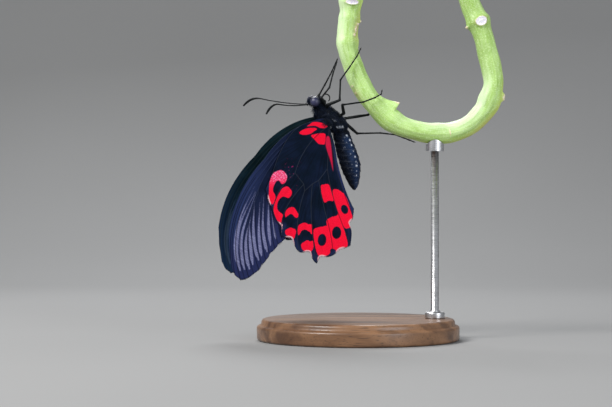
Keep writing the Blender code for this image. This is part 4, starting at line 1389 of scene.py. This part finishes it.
def make_legs(finish):
    """Femur, tibia with spurs, five-jointed tarsus and claws, all on the CAD's joints."""
    for name, joints in LEGS.items():
        line, at, run = polyline([hip_of(joints[0]), *joints], LEG_STEP)
        total = run[-1]
        knee = run[2] / total
        share = at / total
        stations = [0, 0.6 * knee, knee, knee + 0.06, 0.7, 1.0]
        radii = np.interp(share, stations, LEG_RADII)
        for joint in run[1:-1]:
            radii = radii + 0.07 * np.exp(-(((at - joint) / 0.35) ** 2))
        foot = share > FOOT_FROM
        ripple = 0.035 * np.cos(2 * np.pi * (share - FOOT_FROM) / (1 - FOOT_FROM) * FOOT_JOINTS)
        radii = np.where(foot, radii + ripple, radii)
        line = off_stem(line, radii + 0.03)
        parts = [tube(line, radii, 12)]
        tangent = unit(np.gradient(line, axis=0))
        helper = unit(np.cross(tangent, (0.0, 1.0, 0.2)))
        other = np.cross(tangent, helper)
        for k in range(SPURS_FROM, len(line) - SPUR_EVERY, SPUR_EVERY):
            turn = SPUR_TURN * k
            way = unit(helper[k] * math.cos(turn) + other[k] * math.sin(turn) + 0.9 * tangent[k])
            size = 0.34 if foot[k] else 0.5
            parts.append(spine(line[k], way, size, 0.045))
        for claw in (-1, 1):
            way = unit(tangent[-1] + claw * 0.7 * other[-1])
            parts.append(spine(line[-1], way, 0.75, 0.09))
        points, faces = join_parts(parts)
        dress(mesh_object(name.replace("leg_", "limb_"), points, faces, finish), "limb", name)


def hip_of(joint):
    """Where a leg starts inside the body: from its first joint, towards the thorax's axis."""
    root = np.array(BODY_MATRIX.inverted() @ Vector(joint))
    axis = np.array([math.cos(HINGE_DIP), 0.0, -math.sin(HINGE_DIP)])
    inward = root + HIP_LENGTH * unit(axis * np.clip(root @ axis, -4.0, 6.0) - root)
    return np.array(BODY_MATRIX @ Vector(inward))


def spine(root, way, length, width):
    """A small closed thorn."""
    line = root + way * np.linspace(0, length, 4)[:, None]
    start = (0.0, 0.0, 1.0) if abs(way[2]) < 0.9 else (1.0, 0.0, 0.0)
    return tube(line, width * np.array([1.0, 0.8, 0.5, 0.12]), 6, start)


# ---------------------------------------------------------------- stem

STEM_STEPS = 30
STEM_SIDES = 72
# Direction of the light that the bark's painted highlight and painted shade follow
SUN_SIDE = (-0.75, -0.25, 0.75)
# A patch of pale wax with a painted highlight on the loop's inner side: span, degrees, reach along, reach
# round
BLOOM_AND_HIGHLIGHT_PATCH = (9.0, -62.0, 11.0, 4.0)
# Spans over which the far limb's painted highlight fades and its painted shade sets in
LIMB_SHADE = (10.6, 12.2)


def stem_spine():
    """The stem's centre line and its plain radius at each ring."""
    knots = []
    for x, z in STEM_ROUTE:
        lean = STEM_LEAN * max(0.0, z - STEM_LEAN_START) if x > STEM_LEAN_FROM_X else 0.0
        knots.append((x, lean, z))
    line = catmull(knots, STEM_STEPS)
    span = np.arange(len(line)) / STEM_STEPS
    radii = np.full(len(line), STEM_RADIUS)
    for at, size, sharp in STEM_BUMPS:
        radii += size * np.exp(-(((span - at) * sharp) ** 2))
    return line, radii, span


def turn_from(turns, degrees):
    """Angles measured from a direction, between minus and plus half a turn."""
    return (turns - math.radians(degrees) + math.pi) % (2 * math.pi) - math.pi


def stem_patch(span, run, turns, at, degrees, along, around):
    """A round patch on the stem's skin: 1 at its middle, fading with distance in millimetres."""
    centre = np.interp(at, span, run)
    arc = turn_from(turns, degrees) * STEM_RADIUS
    return np.exp(-(((run[:, None] - centre) / along) ** 2) - (arc / around) ** 2)


def make_stem():
    """Bark with flutes, knobs, healed breaks with a raised rim, a broken ledge and a ring; cut ends."""
    line, radii, span = stem_spine()
    run = run_along(line)
    turns = ring_turns(STEM_SIDES)
    far = run[:, None]
    height = 0.05 * np.sin(9 * turns + 0.70 * np.sin(0.21 * far))
    height = height + 0.035 * np.sin(17 * turns + 0.15 * far + 1.0)
    height = height + 0.12 * np.sin(0.33 * far + 2 * turns) + 0.07 * np.sin(0.71 * far - turns)
    scar = np.zeros_like(height)
    wound = np.zeros_like(height)
    for at, degrees, size, along, around in STEM_KNOBS:
        patch = stem_patch(span, run, turns, at, degrees, along, around)
        scar = np.maximum(scar, patch)
        healed_break = size < 0.6 and around > 1.5
        if healed_break:
            rim = smoothstep(patch, 0.18, 0.45) - 0.75 * smoothstep(patch, 0.50, 0.80)
            height = height + size * rim
            wound = np.maximum(wound, smoothstep(patch, 0.42, 0.62))
        else:
            height = height + size * smoothstep(patch, 0.10, 0.75)
    first, last, degrees, rise, half = STEM_LEDGE
    ramp_up = smoothstep(span, first, last - 0.05) * (span < last)
    ledge = ramp_up[:, None] * np.exp(-((turn_from(turns, degrees) * STEM_RADIUS / half) ** 4))
    height = height + rise * ledge
    scar = np.maximum(scar, 0.62 * smoothstep(ledge, 0.55, 0.95))
    at, rise, half, half_turn = STEM_RING
    off = (far - np.interp(at, span, run)) / half
    ring = np.exp(-(off**2) - (turn_from(turns, 0.0) / half_turn) ** 2)
    height = height + rise * ring
    scar = np.maximum(scar, 0.8 * ring)
    points, faces = tube(line, radii[:, None] - 0.12 + height, STEM_SIDES)
    outward = unit(points[:-2].reshape(len(line), STEM_SIDES, 3) - line[:, None])
    sunny = outward @ unit(np.array(SUN_SIDE))
    # Pale wax with a painted highlight: on the side toward SUN_SIDE and in one patch, fading out along the
    # far limb
    bloom_and_highlight = smoothstep(sunny, 0.15, 0.95)
    bloom_and_highlight = np.maximum(bloom_and_highlight, 0.9 * stem_patch(span, run, turns, *BLOOM_AND_HIGHLIGHT_PATCH))
    beyond = smoothstep(span, *LIMB_SHADE)[:, None]
    bloom_and_highlight = bloom_and_highlight * (1 - 0.75 * beyond)
    # Painted shade side: 1 on the side turned away from SUN_SIDE
    under = smoothstep(sunny, -0.15, -0.9)
    # Painted shade on the far limb, on its side toward SUN_SIDE
    limb = beyond * smoothstep(sunny, -0.3, 0.5)
    tan = np.max([strength * stem_patch(span, run, turns, *place) for strength, *place in STEM_TAN], axis=0)
    shape = (len(line), STEM_SIDES)
    around = [np.broadcast_to(wave * STEM_RADIUS, shape) for wave in (np.cos(turns), np.sin(turns))]
    bark = np.stack([np.broadcast_to(far, shape), *around], axis=-1).reshape(-1, 3)
    bark = np.concatenate([bark, [[run[0], 0, 0], [run[-1], 0, 0]]])
    fields = {"bloom_and_highlight": bloom_and_highlight, "under": under, "scar": scar, "wound": wound, "tan": tan, "limb": limb}
    fields = {key: np.append(values.ravel(), [0.0, 0.0]) for key, values in fields.items()}
    across = np.append(np.ones(len(points) - 2), [0.0, 0.0])
    obj = mesh_object("stem_bark", points, faces, stem_finish(), bark=bark, across=across, **fields)
    obj.data.materials.append(cut_finish())
    kinds = np.repeat([0, 1], [len(f) for f in faces]).astype(np.int32)
    obj.data.polygons.foreach_set("material_index", kinds)
    dress(obj, "stem", "perch_stem")


# ---------------------------------------------------------------- stand

def lathe(profile, centre, sides):
    """A turned solid: profile is (radius, height) from its foot's middle to its top's middle."""
    turns = ring_turns(sides)
    rim = np.column_stack([np.cos(turns), np.sin(turns), 0 * turns])
    rings = [centre + rim * r + (0.0, 0.0, h) for r, h in profile[1:-1]]
    poles = [centre + np.array((0.0, 0.0, profile[k][1])) for k in (0, -1)]
    return np.concatenate([*rings, poles]), ring_faces(len(rings), sides)


def corner(radius, height, size, start, end, steps=6):
    """Points of a rounded corner about (radius, height), from one angle in degrees to another."""
    turns = np.radians(np.linspace(start, end, steps + 1))
    return [(radius + size * math.cos(t), height + size * math.sin(t)) for t in turns]


def make_stand():
    low, high = (np.array(c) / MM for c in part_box("stand_base"))
    radius, top = (high[0] - low[0]) / 2, high[2]
    profile = [(0.0, 0.6), (radius - 3.0, 0.6), (radius - 2.6, 0.1)]
    profile += corner(radius - 1.0, 1.0, 0.9, -90, 0)
    profile += corner(radius - 1.0, top - 3.4, 0.95, 0, 70)
    profile += [(radius - 1.5, top - 2.2), (radius - 1.7, top - 1.9)]
    profile += corner(radius - 3.0, top - 1.3, 1.25, 10, 90)
    profile += [(radius - 9.0, top - 0.02), (0.0, top)]
    points, faces = lathe(profile, np.zeros(3), 160)
    dress(mesh_object("turned_base", points, faces, wood_finish()), "base", "stand_base")
    steel = steel_finish()
    low, high = (np.array(c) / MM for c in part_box("stand_rod"))
    middle = (low + high) / 2
    radius = (high[0] - low[0]) / 2
    foot, head = low[2] - 0.3, high[2] + 0.3
    collar = radius + 2.2
    profile = [(0.0, foot)] + corner(collar - 0.3, foot + 0.3, 0.3, -90, 0)
    profile += corner(collar - 0.5, foot + 1.9, 0.5, 0, 90)
    profile += corner(radius + 0.9, foot + 3.0, -0.6, 90, 0)
    profile += [(radius, foot + 3.2), (radius, head), (0.0, head)]
    points, faces = lathe(profile, np.array((middle[0], middle[1], 0.0)), 64)
    dress(mesh_object("steel_rod", points, faces, steel), "metal", "stand_rod")
    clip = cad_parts["stand_clip"]
    clip.data.materials.clear()
    clip.data.materials.append(steel)


# ---------------------------------------------------------------- stage, light and camera

def make_stage():
    """A pale floor that curves up into a backdrop."""
    depth, rise, bend = 900.0, 1600.0, 500.0
    profile = [(-1400.0, 0.0), (depth - bend, 0.0)]
    for t in np.linspace(0.05, math.pi / 2, 24):
        profile.append((depth - bend + bend * math.sin(t), bend - bend * math.cos(t)))
    profile += [(depth, rise)]
    width = 2600.0
    points = np.array([(x, y, z) for y, z in profile for x in (-width / 2, width / 2)])
    quads = np.array([[2 * k, 2 * k + 1, 2 * k + 3, 2 * k + 2] for k in range(len(profile) - 1)])
    mesh_object("backdrop", points, [quads], stage_finish())


def area_light(name, place, size, power, colour):
    light = bpy.data.lights.new(name, "AREA")
    light.shape = "DISK"
    light.size = size * MM
    light.energy = power
    light.color = colour
    obj = bpy.data.objects.new(name, light)
    obj.location = Vector(place) * MM
    obj.rotation_euler = (Vector(LIGHT_AIM) - Vector(place)).to_track_quat("-Z", "Y").to_euler()
    bpy.context.scene.collection.objects.link(obj)


def make_light():
    for light in LIGHTS:
        area_light(*light)
    world = bpy.data.worlds.new("studio")
    world.use_nodes = True
    sky = world.node_tree.nodes["Background"].inputs
    sky["Color"].default_value = SKY_COLOUR
    sky["Strength"].default_value = SKY_STRENGTH
    bpy.context.scene.world = world


def make_camera():
    data = bpy.data.cameras.new("camera")
    data.lens = LENS
    data.sensor_width = SENSOR
    data.clip_start = 0.01
    data.clip_end = 20.0
    camera = bpy.data.objects.new("camera", data)
    camera.location = Vector(CAMERA_PLACE) * MM
    camera.rotation_euler = (math.pi / 2, 0.0, 0.0)
    bpy.context.scene.collection.objects.link(camera)
    bpy.context.scene.camera = camera


bpy.context.scene.view_settings.view_transform = "Standard"
STEM = stem_spine()[:2]
LIMB = limb_finish()
make_stem()
make_stand()
make_wings()
make_body()
make_eyes()
make_antennae(LIMB)
make_tongue(LIMB)
make_legs(LIMB)
make_stage()
make_light()
make_camera()
